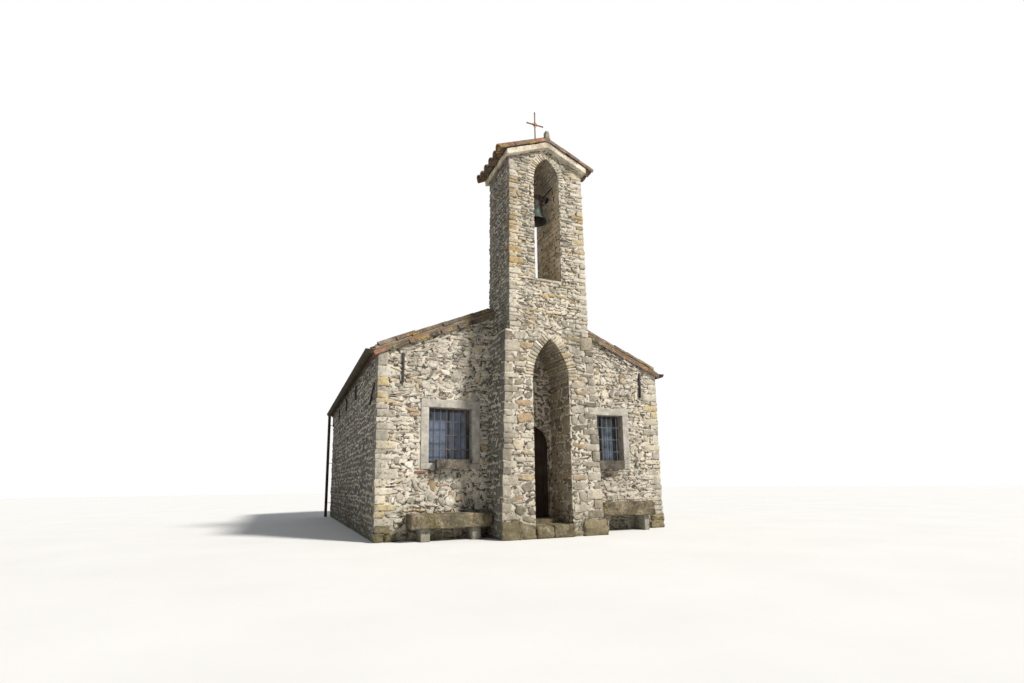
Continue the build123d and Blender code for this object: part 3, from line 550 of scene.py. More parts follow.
RUBBLE_PALETTE = (
    (0.0, (0.213, 0.19, 0.157)), (0.15, (0.347, 0.314, 0.263)), (0.35, (0.515, 0.47, 0.392)),
    (0.55, (0.65, 0.599, 0.504)), (0.74, (0.784, 0.734, 0.627)), (0.85, (0.605, 0.515, 0.381)),
    (0.93, (0.538, 0.392, 0.213)), (1.0, (0.403, 0.28, 0.202)),
)
TOWER_PALETTE = (
    (0.0, (0.203, 0.177, 0.134)), (0.18, (0.342, 0.305, 0.235)), (0.38, (0.514, 0.46, 0.364)),
    (0.6, (0.663, 0.605, 0.492)), (0.76, (0.749, 0.685, 0.567)), (0.87, (0.599, 0.492, 0.321)),
    (1.0, (0.535, 0.374, 0.161)),
)
QUOIN_PALETTE = (
    (0.0, (0.36, 0.325, 0.265)), (0.3, (0.56, 0.51, 0.42)), (0.55, (0.66, 0.6, 0.49)),
    (0.72, (0.53, 0.45, 0.31)), (0.88, (0.47, 0.345, 0.17)), (1.0, (0.36, 0.235, 0.11)),
)
NICHE_PALETTE = (
    (0.0, (0.17, 0.135, 0.09)), (0.3, (0.27, 0.22, 0.155)), (0.6, (0.36, 0.3, 0.215)),
    (0.85, (0.44, 0.375, 0.28)), (1.0, (0.4, 0.29, 0.16)),
)
DRESSED_PALETTE = ((0.0, (0.36, 0.33, 0.285)), (0.5, (0.46, 0.43, 0.375)), (1.0, (0.53, 0.5, 0.44)))
SLAB_PALETTE = (
    (0.0, (0.045, 0.034, 0.02)), (0.4, (0.115, 0.085, 0.052)), (0.7, (0.24, 0.185, 0.115)),
    (1.0, (0.44, 0.365, 0.255)),
)
SHADE_PALETTE = (
    (0.0, (0.12, 0.11, 0.09)), (0.2, (0.2, 0.185, 0.15)), (0.45, (0.31, 0.285, 0.235)),
    (0.7, (0.42, 0.39, 0.325)), (0.88, (0.36, 0.3, 0.21)), (1.0, (0.32, 0.23, 0.12)),
)
# Darker and browner than the tower's stones: partly the porch stones' own colour, partly painted shadow of trees.
PORCH_PALETTE = (
    (0.0, (0.15, 0.13, 0.1)), (0.2, (0.27, 0.235, 0.18)), (0.45, (0.39, 0.345, 0.27)),
    (0.65, (0.5, 0.45, 0.36)), (0.8, (0.6, 0.55, 0.45)), (0.9, (0.45, 0.34, 0.2)), (1.0, (0.38, 0.25, 0.15)),
)
BELFRY_PALETTE = (
    (0.0, (0.36, 0.27, 0.17)), (0.35, (0.54, 0.425, 0.28)), (0.7, (0.68, 0.56, 0.39)),
    (1.0, (0.78, 0.67, 0.49)),
)
FOOT_PALETTE = (
    (0.0, (0.12, 0.095, 0.055)), (0.35, (0.23, 0.18, 0.11)), (0.65, (0.35, 0.275, 0.17)),
    (1.0, (0.44, 0.365, 0.25)),
)
BEDDING_PALETTE = ((0.0, (0.17, 0.14, 0.105)), (0.5, (0.29, 0.25, 0.19)), (1.0, (0.42, 0.37, 0.29)))
BAND_PALETTE = (
    (0.0, (0.46, 0.36, 0.26)), (0.35, (0.62, 0.53, 0.4)), (0.7, (0.74, 0.67, 0.54)), (1.0, (0.8, 0.74, 0.62)),
)
TROUGH_PALETTE = ((0.0, (0.055, 0.048, 0.04)), (0.5, (0.095, 0.08, 0.064)), (1.0, (0.14, 0.12, 0.095)))
SOIL_PALETTE = ((0.0, (0.1, 0.07, 0.045)), (0.5, (0.17, 0.12, 0.08)), (1.0, (0.24, 0.18, 0.12)))
TILE_PALETTE = (
    (0.0, (0.055, 0.042, 0.032)), (0.22, (0.115, 0.078, 0.055)), (0.45, (0.2, 0.115, 0.08)),
    (0.62, (0.15, 0.11, 0.08)), (0.8, (0.33, 0.135, 0.075)), (1.0, (0.27, 0.2, 0.145)),
)

FIELD_STONE = StoneFinish(
    "field_stone", palette=RUBBLE_PALETTE, smear=0.62, smear_colour=(0.68, 0.62, 0.51), depth=0.007
)
TOWER_STONE = StoneFinish("tower_stone", palette=TOWER_PALETTE, smear=0.40, stain=0.4, lichen=0.95, depth=0.007)
# Painted shade on the corner stones' faces turned to -X.
QUOIN_STONE = StoneFinish("quoin_stone", palette=QUOIN_PALETTE, smear=0.45, lichen=0.95, depth=0.007, side_shade=0.72)
# Painted shade: darker stone for the sides in shade, darker still on faces turned to -X.
SHADE_STONE = StoneFinish(
    "shade_side_stone", palette=SHADE_PALETTE, smear=0.25, smear_colour=(0.32, 0.31, 0.275), stain=0.85, lichen=0.25,
    depth=0.006, side_shade=0.55,
)
NICHE_STONE = StoneFinish(
    "niche_stone", palette=NICHE_PALETTE, smear=0.3, smear_colour=(0.42, 0.35, 0.25), stain=0.3, lichen=0.1,
    depth=0.006, groove=0.6,
)
# Painted shade on the porch stones' faces turned to -X.
PORCH_STONE = StoneFinish(
    "porch_stone", palette=PORCH_PALETTE, smear=0.35, stain=0.5, lichen=0.5, depth=0.007, side_shade=0.72
)
# Painted shade on the ring's faces that look down, under the arch.
RING_STONE = replace(TOWER_STONE, name="arch_ring_stone", lichen=0.6, depth=0.006, underside_shade=0.62)
BELFRY_STONE = StoneFinish(
    "belfry_stone", palette=BELFRY_PALETTE, smear=0.6, smear_colour=(0.78, 0.66, 0.47), stain=0.2, lichen=0.1,
    depth=0.007, pits=0.6, groove=0.25,
)
BEDDING = StoneFinish(
    "tile_bedding", "mortar_band", palette=BEDDING_PALETTE, smear=0.2, stain=0.5, lichen=0.4, toned=False
)
FOOT_STONE = StoneFinish(
    "foot_stone", palette=FOOT_PALETTE, smear=0.1, stain=0.7, lichen=0.8, damp=1.0, depth=0.009
)
DRESSED_STONE = StoneFinish(
    "dressed_window_stone", "dressed_stone", palette=DRESSED_PALETTE, smear=0.0, stain=0.25, lichen=0.1,
    toned=False, damp=0.3, depth=0.0025, pits=0.15,
)
SLAB_STONE = StoneFinish(
    "weathered_slab", "weathered_stone", palette=SLAB_PALETTE, smear=0.15, stain=0.45, lichen=0.6, toned=False,
    scale=22, depth=0.009, pits=1.0,
)
LEG_STONE = StoneFinish(
    "bench_leg_stone", "dressed_stone", palette=DRESSED_PALETTE, smear=0.1, toned=False, depth=0.003
)
FLOOR_STONE = StoneFinish(
    "worn_floor_stone", "floor_stone", palette=SLAB_PALETTE, smear=0.2, stain=0.3, toned=False, depth=0.003
)
WALL_MORTAR = MortarFinish("joint_mortar", "rubble_stone", depth=0.014)
BAND_MORTAR = StoneFinish(
    "verge_band_mortar", "mortar_band", palette=BAND_PALETTE, smear=0.3, smear_colour=(0.78, 0.72, 0.62),
    stain=0.3, lichen=0.35, toned=False,
)
CLAY_TILE = TileFinish("weathered_coppo", "terracotta", palette=TILE_PALETTE, rough=0.93, depth=0.003)
OLD_OAK = WoodFinish("old_oak", "old_timber", depth=0.003)
DOOR_OAK = WoodFinish(
    "door_oak", "old_timber", dark=(0.018, 0.011, 0.008), light=(0.055, 0.032, 0.022), wear=0.08, depth=0.003
)
DECK_BOARD = WoodFinish(
    "roof_board", "deck_timber", dark=(0.10, 0.07, 0.045), light=(0.27, 0.19, 0.125), stretch=(0.9, 9, 9),
    depth=0.003,
)
SASH_PAINT = WoodFinish(
    "sash_paint", "window_timber", dark=(0.03, 0.028, 0.026), light=(0.075, 0.068, 0.06), depth=0.001
)
FORGED_IRON = MetalFinish(
    "forged_iron", "wrought_iron", rough=0.5, metal=0.6, base=(0.030, 0.030, 0.033), rust=0.12, depth=0.001,
    gloss=0.4,
)
# Paler than the forged iron: partly the bars' own grey, partly painted sunlight on them.
GRILLE_IRON = replace(FORGED_IRON, name="grille_iron", metal=0.3, base=(0.095, 0.098, 0.104), rust=0.2)
RUSTY_IRON = MetalFinish(
    "rusty_cross_iron", "rusty_iron", rough=0.55, metal=0.35, base=(0.20, 0.11, 0.07), rust=0.95, depth=0.001
)
BELL_BRONZE = MetalFinish(
    "aged_bronze", "bell_bronze", rough=0.62, metal=0.1, base=(0.050, 0.050, 0.045), rust=0.0, depth=0.0008,
    gloss=0.35, bloom=(0.04, 0.155, 0.12), bloom_heights=(6.53, 6.59),
)
GUTTER_SHEET = MetalFinish(
    "gutter_sheet", "gutter_metal", rough=0.85, base=(0.030, 0.030, 0.019), rust=0.2, depth=0.0008
)
OLD_GLASS = GlassFinish("old_glass", "window_glass", rough=0.06, depth=0.002, gloss=0.5)
TROUGH_CLAY = StoneFinish(
    "trough_clay", "planter_clay", palette=TROUGH_PALETTE, smear=0.1, stain=0.4, lichen=0.1, toned=False,
    depth=0.002,
)
DRY_SOIL = StoneFinish(
    "dry_soil", "planter_clay", palette=SOIL_PALETTE, smear=0.0, stain=0.2, lichen=0.0, damp=0.0, toned=False,
    scale=40,
)
NODE_FINISHES = {
    finish.slot: finish
    for finish in (
        WALL_MORTAR, DRESSED_STONE, SLAB_STONE, FLOOR_STONE, CLAY_TILE, BAND_MORTAR, OLD_OAK, DECK_BOARD, SASH_PAINT,
        OLD_GLASS, FORGED_IRON, RUSTY_IRON, BELL_BRONZE, GUTTER_SHEET, TROUGH_CLAY,
    )
}


# Modelling helpers


def drop_selection() -> None:
    """Go back to object mode and deselect everything."""
    if bpy.context.view_layer.objects.active and bpy.context.mode != "OBJECT":
        bpy.ops.object.mode_set(mode="OBJECT")
    bpy.ops.object.select_all(action="DESELECT")


def pick(piece: Thing) -> None:
    """Select one object alone and make it active.

    Args:
        piece: the object.
    """
    drop_selection()
    piece.select_set(True)
    bpy.context.view_layer.objects.active = piece


def edit(piece: Thing, *steps: tuple[str, dict]) -> None:
    """Run mesh operators on a whole mesh, each on what the one before leaves selected.

    Args:
        piece: the object.
        steps: an operator's name and its settings, for each step.
    """
    pick(piece)
    bpy.ops.object.mode_set(mode="EDIT")
    bpy.ops.mesh.select_all(action="SELECT")
    for name, settings in steps:
        getattr(bpy.ops.mesh, name)(**settings)
    bpy.ops.object.mode_set(mode="OBJECT")


def subdivide(piece: Thing, cuts: int) -> None:
    """Divide every edge of a mesh."""
    edit(piece, ("subdivide", {"number_cuts": cuts}))


def face_outwards(piece: Thing) -> None:
    """Merge doubled points and turn all faces outwards."""
    edit(piece, ("remove_doubles", {"threshold": 0.00005}), ("normals_make_consistent", {"inside": False}))


def primitive(kind: str, scale: Sequence[float] = (1, 1, 1), **settings: object) -> Thing:
    """Add a primitive to be shaped, with its place in its mesh.

    Args:
        kind: cube, cylinder, torus and so on.
        scale: how far it is stretched.
        settings: the operator's settings.

    Returns:
        The object.
    """
    drop_selection()
    getattr(bpy.ops.mesh, f"primitive_{kind}_add")(**settings)
    made = bpy.context.object
    made.scale = scale
    bpy.ops.object.transform_apply(location=True, rotation=True, scale=True)
    return made


def use_modifier(piece: Thing, kind: str, **settings: object) -> None:
    """Add a modifier with its settings and apply it.

    Args:
        piece: the object.
        kind: the modifier's type name.
        settings: its settings.
    """
    pick(piece)
    made = piece.modifiers.new(kind.lower(), kind)
    for key, value in settings.items():
        setattr(made, key, value)
    bpy.ops.object.modifier_apply(modifier=made.name)


def bevel(piece: Thing, width: float, degrees: float = 50) -> Thing:
    """Round the edges of an object in two steps.

    Args:
        piece: the object.
        width: width of the rounding.
        degrees: angle from which an edge is rounded.

    Returns:
        The same object.
    """
    limit = math.radians(degrees)
    use_modifier(piece, "BEVEL", width=width, segments=2, limit_method="ANGLE", angle_limit=limit)
    return piece


def roughen(piece: Thing, size: float, strength: float, depth: int = 2) -> None:
    """Push a mesh in and out by clouds of one size.

    Args:
        piece: the object.
        size: size of the clouds.
        strength: full travel.
        depth: how many finer layers the clouds have.
    """
    name = f"clouds_{size:.3f}_{depth}"
    clouds = bpy.data.textures.get(name)
    if clouds is None:
        clouds = bpy.data.textures.new(name, "CLOUDS")
        clouds.noise_scale = size
        clouds.noise_depth = depth
    use_modifier(piece, "DISPLACE", texture=clouds, strength=strength, mid_level=0.5, texture_coords="LOCAL")


def read_points(piece: Thing) -> np.ndarray:
    """Read a mesh's points.

    Args:
        piece: the object.

    Returns:
        A row of x, y and z for each point.
    """
    points = np.empty(len(piece.data.vertices) * 3)
    piece.data.vertices.foreach_get("co", points)
    return points.reshape(-1, 3)


def finish_piece(
    piece: Thing, name: str, finish: Finish, *replaces: str, degrees: float = 0, body: Body = Body.CHAPEL
) -> None:
    """Smooth, name, dress and hang a finished piece, with its place in its mesh.

    Args:
        piece: the modelled object.
        name: its name.
        finish: its finish.
        replaces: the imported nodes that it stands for.
        degrees: angle of the edges that are shaded smooth; 0 leaves all flat.
        body: the rigid body that it rides on.
    """
    pick(piece)
    if degrees:
        bpy.ops.object.shade_smooth_by_angle(angle=math.radians(degrees))
    bpy.ops.object.transform_apply(location=True, rotation=True, scale=True)
    drop_selection()
    points = read_points(piece)
    points[:, 2] = np.maximum(points[:, 2], 0.0)
    piece.data.vertices.foreach_set("co", points.ravel())
    piece.data.update()
    piece.name = piece.data.name = name
    piece.data.materials.clear()
    piece.data.materials.append(finish.material())
    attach(piece, body.value)
    if replaces:
        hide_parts(*replaces)
    LOG.info("%s: %d faces", name, len(piece.data.polygons))


def write_layer(piece: Thing, name: str, domain: str, values: Sequence[float]) -> None:
    """Write numbers into a mesh's attribute."""
    layer = piece.data.attributes.new(name, "FLOAT", domain)
    layer.data.foreach_set("value", np.asarray(values, np.float32))


def new_object(
    name: str, verts: Sequence, faces: Sequence, tones: Optional[Sequence[float]] = None, edges: Sequence = ()
) -> Thing:
    """Return an object from points and faces.

    Args:
        name: its name.
        verts: its points.
        faces: its faces, as lists of point numbers.
        tones: one value from 0 to 1 for each face.
        edges: its loose edges.

    Returns:
        The object, linked to the scene.
    """
    mesh = bpy.data.meshes.new(name)
    mesh.from_pydata([tuple(v) for v in verts], edges, [list(f) for f in faces])
    piece = bpy.data.objects.new(name, mesh)
    if tones is not None:
        write_layer(piece, "tone", "FACE", tones)
    bpy.context.scene.collection.objects.link(piece)
    return piece


def join_pieces(pieces: Sequence[Thing]) -> Thing:
    """Join objects into the first of them.

    Args:
        pieces: the objects.

    Returns:
        The first object.
    """
    pick(pieces[0])
    for piece in pieces:
        piece.select_set(True)
    if len(pieces) > 1:
        bpy.ops.object.join()
    return bpy.context.view_layer.objects.active


def block(
    xs: Sequence[float], ys: Sequence[float], zs: Sequence[float], width: float = 0.0, cuts: int = 0
) -> Thing:
    """Return a block between two limits each way, in any order.

    Args:
        xs: its limits across.
        ys: its limits in depth, from the front wall's face.
        zs: its limits in height.
        width: width of its bevelled edges; 0 for none.
        cuts: how many times each edge is divided.

    Returns:
        The object.
    """
    low, high = PLAN.box(xs, ys, zs)
    piece = primitive("cube", high - low, size=1, location=(low + high) / 2)
    if cuts:
        subdivide(piece, cuts)
    return bevel(piece, width, 40) if width else piece


def array_copies(
    pattern: Thing, name: str, places: Sequence[Matrix], tones: Sequence[float], wobble: float = 0.0, seed: int = 1
) -> Thing:
    """Return one joined mesh with a copy of a modelled pattern at each place, and remove the pattern.

    Args:
        pattern: the modelled object, with its place in its mesh.
        name: name of the new object.
        places: one matrix for each copy.
        tones: one tone for each copy.
        wobble: how far each point may stray.
        seed: start of the random numbers.

    Returns:
        The new object, with the tones in its "tone" attribute.
    """
    points = np.c_[read_points(pattern), np.ones(len(pattern.data.vertices))]
    faces = [list(face.vertices) for face in pattern.data.polygons]
    dice = np.random.default_rng(seed)
    verts, joined = [], []
    for number, place in enumerate(places):
        moved = (points @ np.array(place.transposed()))[:, :3]
        verts.append(moved + dice.normal(0, wobble, moved.shape) if wobble else moved)
        joined += [[index + number * len(points) for index in face] for face in faces]
    made = new_object(name, np.concatenate(verts), joined, np.repeat(tones, len(faces)))
    bpy.data.objects.remove(pattern)
    return made


# Stone walls


@dataclass(frozen=True)
class Plan:
    """Main lines of the building that several sub-assemblies share.

    Depths count from the front wall's outer face; at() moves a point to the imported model's origin.
    """

    shift: float = -4.1725
    half_width: float = 3.1
    length: float = 9.2
    eave: float = 3.43
    pitch: float = math.radians(22.5)
    slope: float = math.tan(math.radians(22.5))
    tower_front: float = -0.815
    tower_back: float = 0.23
    ledge: float = 3.82
    ledge_half: float = 0.845
    tower_top: float = 7.37
    belfry_sill: float = 4.90
    belfry_spring: float = 7.03
    belfry_half: float = 0.285
    belfry_rise: float = 0.47
    niche_half: float = 0.385
    niche_spring: float = 2.93
    niche_rise: float = 0.79
    foot_half: float = 1.04
    window_middle: float = 1.725
    window_half: float = 0.425
    window_sill: float = 1.37
    window_head: float = 2.41
    tower_lean: float = 0.040
    porch_lean: float = 0.115

    def at(self, x: float, y: float, z: float) -> Vector:
        """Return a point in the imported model's frame."""
        return Vector((x, y + self.shift, z))

    def box(self, xs: Sequence[float], ys: Sequence[float], zs: Sequence[float]) -> tuple[Vector, Vector]:
        """Return the lowest and highest corner of a box from its two limits each way, in any order."""
        return self.at(min(xs), min(ys), min(zs)), self.at(max(xs), max(ys), max(zs))

    def tower_half(self, z: float) -> float:
        """Return half the tower's width at a height."""
        return self.ledge_half - self.tower_lean * (z - self.ledge) / (self.tower_top - self.ledge)

    def porch_half(self, z: float) -> float:
        """Return half the porch's width at a height."""
        return self.foot_half - self.porch_lean * z / self.ledge


PLAN = Plan()


def arch_half(z: float, half: float, spring: float, rise: float, ring: float = 0.0) -> float:
    """Return half the width of a pointed opening, or of the ring round it, at a height.

    Args:
        z: the height.
        half: half the opening's width below the springing.
        spring: height of the springing.
        rise: rise of the arch.
        ring: width of the ring.

    Returns:
        Half the width there, 0 above the point.
    """
    up = z - spring
    if up <= 0 or up > rise + ring:
        return half if up <= 0 else 0.0
    radius = (rise**2 + half**2) / (2 * half)
    return max(0.0, math.sqrt(max(0.0, (radius + ring) ** 2 - up**2)) - (radius - half))


def cut_out(spans: Sequence[Pair], low: float, high: float) -> list[Pair]:
    """Take an opening out of spans, and drop spans too short for a stone.

    Args:
        spans: start and end of each span.
        low: start of the opening.
        high: end of the opening; not past the start for none.

    Returns:
        The spans that are left.
    """
    if high > low:
        spans = [part for a, b in spans for part in ((a, min(b, low)), (max(a, high), b))]
    return [part for part in spans if part[1] - part[0] > 0.03]


def side_span(side: int, near: float, far: float, start: float = 0.0) -> list[Pair]:
    """Return the span of a side wall; the left one counts back from its start."""
    return [(near, far)] if side > 0 else [(start - far, start - near)]


Cell = tuple[list[Pair], float, float]


@dataclass
class StoneSheet:
    """One stone-faced side of a wall: courses of stones between two heights.

    The sheet lies at origin + u * across + v * rise, and its stones stand out along across x rise.
    A stone is a cell: its outline in u and v, its tone and how far it is sunk.
    """

    name: str
    finish: Finish
    origin: Vector
    across: Triple
    spans: Spans
    low: float
    high: float
    levels: tuple[float, ...] = ()
    widths: Pair = (0.12, 0.32)
    courses: Pair = (0.08, 0.16)
    rise: Triple = (0, 0, 1)
    joint: float = 0.020
    proud: Pair = (0.004, 0.022)
    bulge: float = 0.011
    tall: float = 0.12
    seed: int = 1
    root: float = 0.02
    rings: int = 2
    chip: float = 0.16
    lean: float = 0.07
    thin_from: float = 0.105
    thin_share: float = 0.24

    def __post_init__(self) -> None:
        """Start the random numbers."""
        self.dice = random.Random(self.seed)

    def is_level(self, v: float) -> bool:
        """Return whether a height is one that a course line has to keep."""
        return any(abs(v - level) < 1e-6 for level in self.levels)

    def shared(self, start: float, stop: float, sizes: Pair) -> list[float]:
        """Return where a length ends, part by part, when it is shared among sizes between two limits.

        Args:
            start: its start.
            stop: its end.
            sizes: smallest and largest size.

        Returns:
            Each part's end.
        """
        count = max(1, round((stop - start) / (sum(sizes) / 2)))
        parts = [self.dice.uniform(*sizes) for _ in range(count)]
        ends = [start]
        for part in parts:
            ends.append(ends[-1] + part * (stop - start) / sum(parts))
        return ends[1:]

    def course_lines(self) -> list[float]:
        """Lay out the courses.

        Returns:
            The heights of their lines from the lowest to the highest, every level among them.
        """
        fixed = sorted({self.low, self.high, *(v for v in self.levels if self.low < v < self.high)})
        lines = fixed[:1]
        for start, stop in zip(fixed, fixed[1:]):
            lines += [*self.shared(start, stop, self.courses)[:-1], stop]
        return lines

    def wave(self, u: float, v: float) -> float:
        """Let a course line stray from its height.

        Args:
            u: place along the line.
            v: the line's height.

        Returns:
            How far it strays there.
        """
        if v in (self.low, self.high) or self.is_level(v):
            return 0.0
        slow, fast = noise.noise((u * 1.9, v * 5.3, self.seed * 3.7)), noise.noise((u * 6.5, v * 9.1, self.seed * 1.3))
        return 0.15 * sum(self.courses) * (slow * 1.5 + fast * 0.8)

    def cells(self) -> list[Cell]:
        """Fill all courses with stones.

        Returns:
            The stones' cells.
        """
        lines = self.course_lines()
        made: list[Cell] = []
        taken: list[Pair] = []
        for number, (v0, v1) in enumerate(zip(lines, lines[1:])):
            low_spans, high_spans = self.spans(v0 + 0.002), self.spans(v1 - 0.002)
            if len(low_spans) != len(high_spans):
                low_spans = high_spans = self.spans((v0 + v1) / 2)
            above = lines[number + 2] if number + 2 < len(lines) and not self.is_level(v1) else None
            now_taken, taken = taken, []
            for (a0, a1), (b0, b1) in zip(low_spans, high_spans):
                for t0, t1 in self.shares(a0, a1, now_taken):
                    left, right = ((a0 + t * (a1 - a0), b0 + t * (b1 - b0)) for t in (t0, t1))
                    top = v1
                    if above and 0.02 < t0 and t1 < 0.98 and self.dice.random() < self.tall:
                        taken.append((left[1], right[1]))
                        top = above
                    made += self.split(left, right, v0, top)
        return made

    def shares(self, start: float, stop: float, taken: Sequence[Pair]) -> list[Pair]:
        """Return the parts of a course that its stones take, as shares of its length.

        Args:
            start: left end.
            stop: right end.
            taken: parts that a taller stone of the course below already fills.

        Returns:
            Pairs of shares from left to right.
        """
        free = [(start, stop)] if stop - start >= 0.05 else []
        for low, high in taken:
            free = cut_out(free, low, high)
        found = []
        for a, b in free:
            ends = [(end - start) / (stop - start) for end in (a, *self.shared(a, b, self.widths))]
            found += zip(ends, ends[1:])
        return found

    def split(self, left: Pair, right: Pair, v0: float, v1: float) -> list[Cell]:
        """Return one place in a course as one stone or as two thin ones.

        Args:
            left: the left side's u at its foot and its head.
            right: the right side's u at its foot and its head.
            v0: lower line.
            v1: upper line.

        Returns:
            One or two cells.
        """
        lean = self.dice.uniform(-self.lean, self.lean) * (v1 - v0)
        feet, heads = [left[0] + lean, right[0] + lean], [left[1] - lean, right[1] - lean]
        if v1 - v0 > self.thin_from and self.dice.random() < self.thin_share:
            share = self.dice.choice((0.35, 0.5, 0.65)) + self.dice.uniform(-0.05, 0.05)
            mid = v0 + (v1 - v0) * share
            middle = [f + (h - f) * share for f, h in zip(feet, heads)]
            return [self.stone(feet, middle, v0, mid), self.stone(middle, heads, mid, v1)]
        return [self.stone(feet, heads, v0, v1)]

    def stone(self, feet: Sequence[float], heads: Sequence[float], v0: float, v1: float) -> Cell:
        """Return one stone with a rounded, uneven outline.

        Args:
            feet: left and right u at the foot.
            heads: left and right u at the head.
            v0: lower line.
            v1: upper line.

        Returns:
            The cell.
        """
        draw = self.dice.uniform
        gaps = [self.joint / 2 * draw(0.5, 2.0) for _ in range(4)]
        short = min(feet[1] - feet[0], v1 - v0)
        chips = [draw(0, self.chip) * short for _ in range(8)]
        corners = [
            (feet[0] + gaps[0] + chips[0], v0 + self.wave(feet[0], v0) + gaps[1] + chips[1]),
            (feet[1] - gaps[2] - chips[2], v0 + self.wave(feet[1], v0) + gaps[1] + chips[3]),
            (heads[1] - gaps[2] - chips[4], v1 + self.wave(heads[1], v1) - gaps[3] - chips[5]),
            (heads[0] + gaps[0] + chips[6], v1 + self.wave(heads[0], v1) - gaps[3] - chips[7]),
        ]
        return self.soften(corners), self.dice.random(), draw(0, self.proud[1] - self.proud[0])

    def soften(self, corners: Sequence[Pair]) -> list[Pair]:
        """Return an outline with cut corners and uneven sides.

        Args:
            corners: the outline's corners, counterclockwise.

        Returns:
            The new outline.
        """
        draw, points = self.dice.uniform, []
        for index, (u, v) in enumerate(corners):
            before, after = corners[index - 1], corners[(index + 1) % len(corners)]
            back, ahead = math.dist((u, v), before), math.dist((u, v), after)
            short = min(back, ahead)
            for other, length in ((before, back), (after, ahead)):
                share = min(0.42, draw(0.12, 0.42) * short / max(length, 1e-6))
                points.append((u + (other[0] - u) * share, v + (other[1] - v) * share))
            if ahead > 1.3 * short or ahead > 0.10:
                share, bow = draw(0.4, 0.6), draw(-0.10, 0.02) * short / ahead
                along, up = after[0] - u, after[1] - v
                points.append((u + along * share - up * bow, v + up * share + along * bow))
        return points

    def build(self) -> None:
        """Model the sheet's stones as one joined mesh, with their depth in the joints as an attribute."""
        across, rise = Vector(self.across), Vector(self.rise)
        out = across.cross(rise).normalized()
        dice = random.Random(self.seed + 500)
        verts, faces, tones = [], [], []
        for points, tone, sunk in self.cells():
            tilt = (dice.uniform(-0.05, 0.05), dice.uniform(-0.05, 0.05))
            u0, v0 = (sum(way) / len(points) for way in zip(*points))
            faces.append(range(len(verts), len(verts) + len(points)))
            tones.append(tone)
            for u, v in points:
                deep = self.root + sunk - tilt[0] * (u - u0) - tilt[1] * (v - v0)
                verts.append(self.origin + across * u + rise * v - out * deep)
        piece = new_object(self.name, verts, faces, tones)
        push = self.root + self.proud[1] - self.bulge * 0.8
        step = min(self.bulge, 0.16 * self.courses[0])
        insets = [
            ("inset", {"thickness": wide, "depth": deep, "use_even_offset": False, "use_individual": True})
            for wide, deep in ((step * 0.7, self.bulge * 0.6), (step, self.bulge * 0.3))
        ]
        edit(
            piece, ("extrude_region_shrink_fatten", {"TRANSFORM_OT_shrink_fatten": {"value": push}}),
            *insets[: self.rings], ("select_all", {"action": "SELECT"}), ("normals_make_consistent", {"inside": False}),
        )
        roughen(piece, 0.16, 0.012, 2)
        roughen(piece, 0.04, 0.014, 1)
        # Depth below the stones' faces, which the stone finish turns into painted shade deep in the joints.
        height = (read_points(piece) - np.array(self.origin)) @ np.array(out)
        write_layer(piece, "hollow", "POINT", np.clip(1 - (height + 0.001) / 0.011, 0, 1))
        finish_piece(piece, self.name, self.finish, degrees=42)


BOX_FACES = ((0, 3, 2, 1), (4, 5, 6, 7), (0, 1, 5, 4), (1, 2, 6, 5), (2, 3, 7, 6), (3, 0, 4, 7))


@dataclass(frozen=True)
class Hewing:
    """How stones are hewn: worn edges, divisions and the travel of large and small unevenness."""

    worn: float = 0.016
    large: float = 0.018
    small: float = 0.010
    cuts: int = 2
    size: float = 0.14

    def hew(self, piece: Thing, name: str, finish: Finish, *replaces: str) -> None:
        """Bevel, divide and roughen closed stones that are one mesh.

        Args:
            piece: the object.
            name: its name.
            finish: its finish.
            replaces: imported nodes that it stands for.
        """
        face_outwards(piece)
        bevel(piece, self.worn, 35)
        subdivide(piece, self.cuts)
        roughen(piece, self.size, self.large, 2)
        roughen(piece, self.size / 3, self.small, 1)
        finish_piece(piece, name, finish, *replaces, degrees=40)

    def blocks(
        self, name: str, boxes: Sequence[tuple[Vector, Vector]], tones: Sequence[float], finish: Finish, *replaces: str
    ) -> None:
        """Hew stones from boxes.

        Args:
            name: name of the piece.
            boxes: lowest and highest corner of each stone.
            tones: one tone for each stone.
            finish: its finish.
            replaces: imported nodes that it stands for.
        """
        verts, faces = [], []
        for low, high in boxes:
            faces += [[len(verts) + i for i in face] for face in BOX_FACES]
            for z in (low.z, high.z):
                verts += [(low.x, low.y, z), (high.x, low.y, z), (high.x, high.y, z), (low.x, high.y, z)]
        self.hew(new_object(name, verts, faces, np.repeat(tones, 6)), name, finish, *replaces)


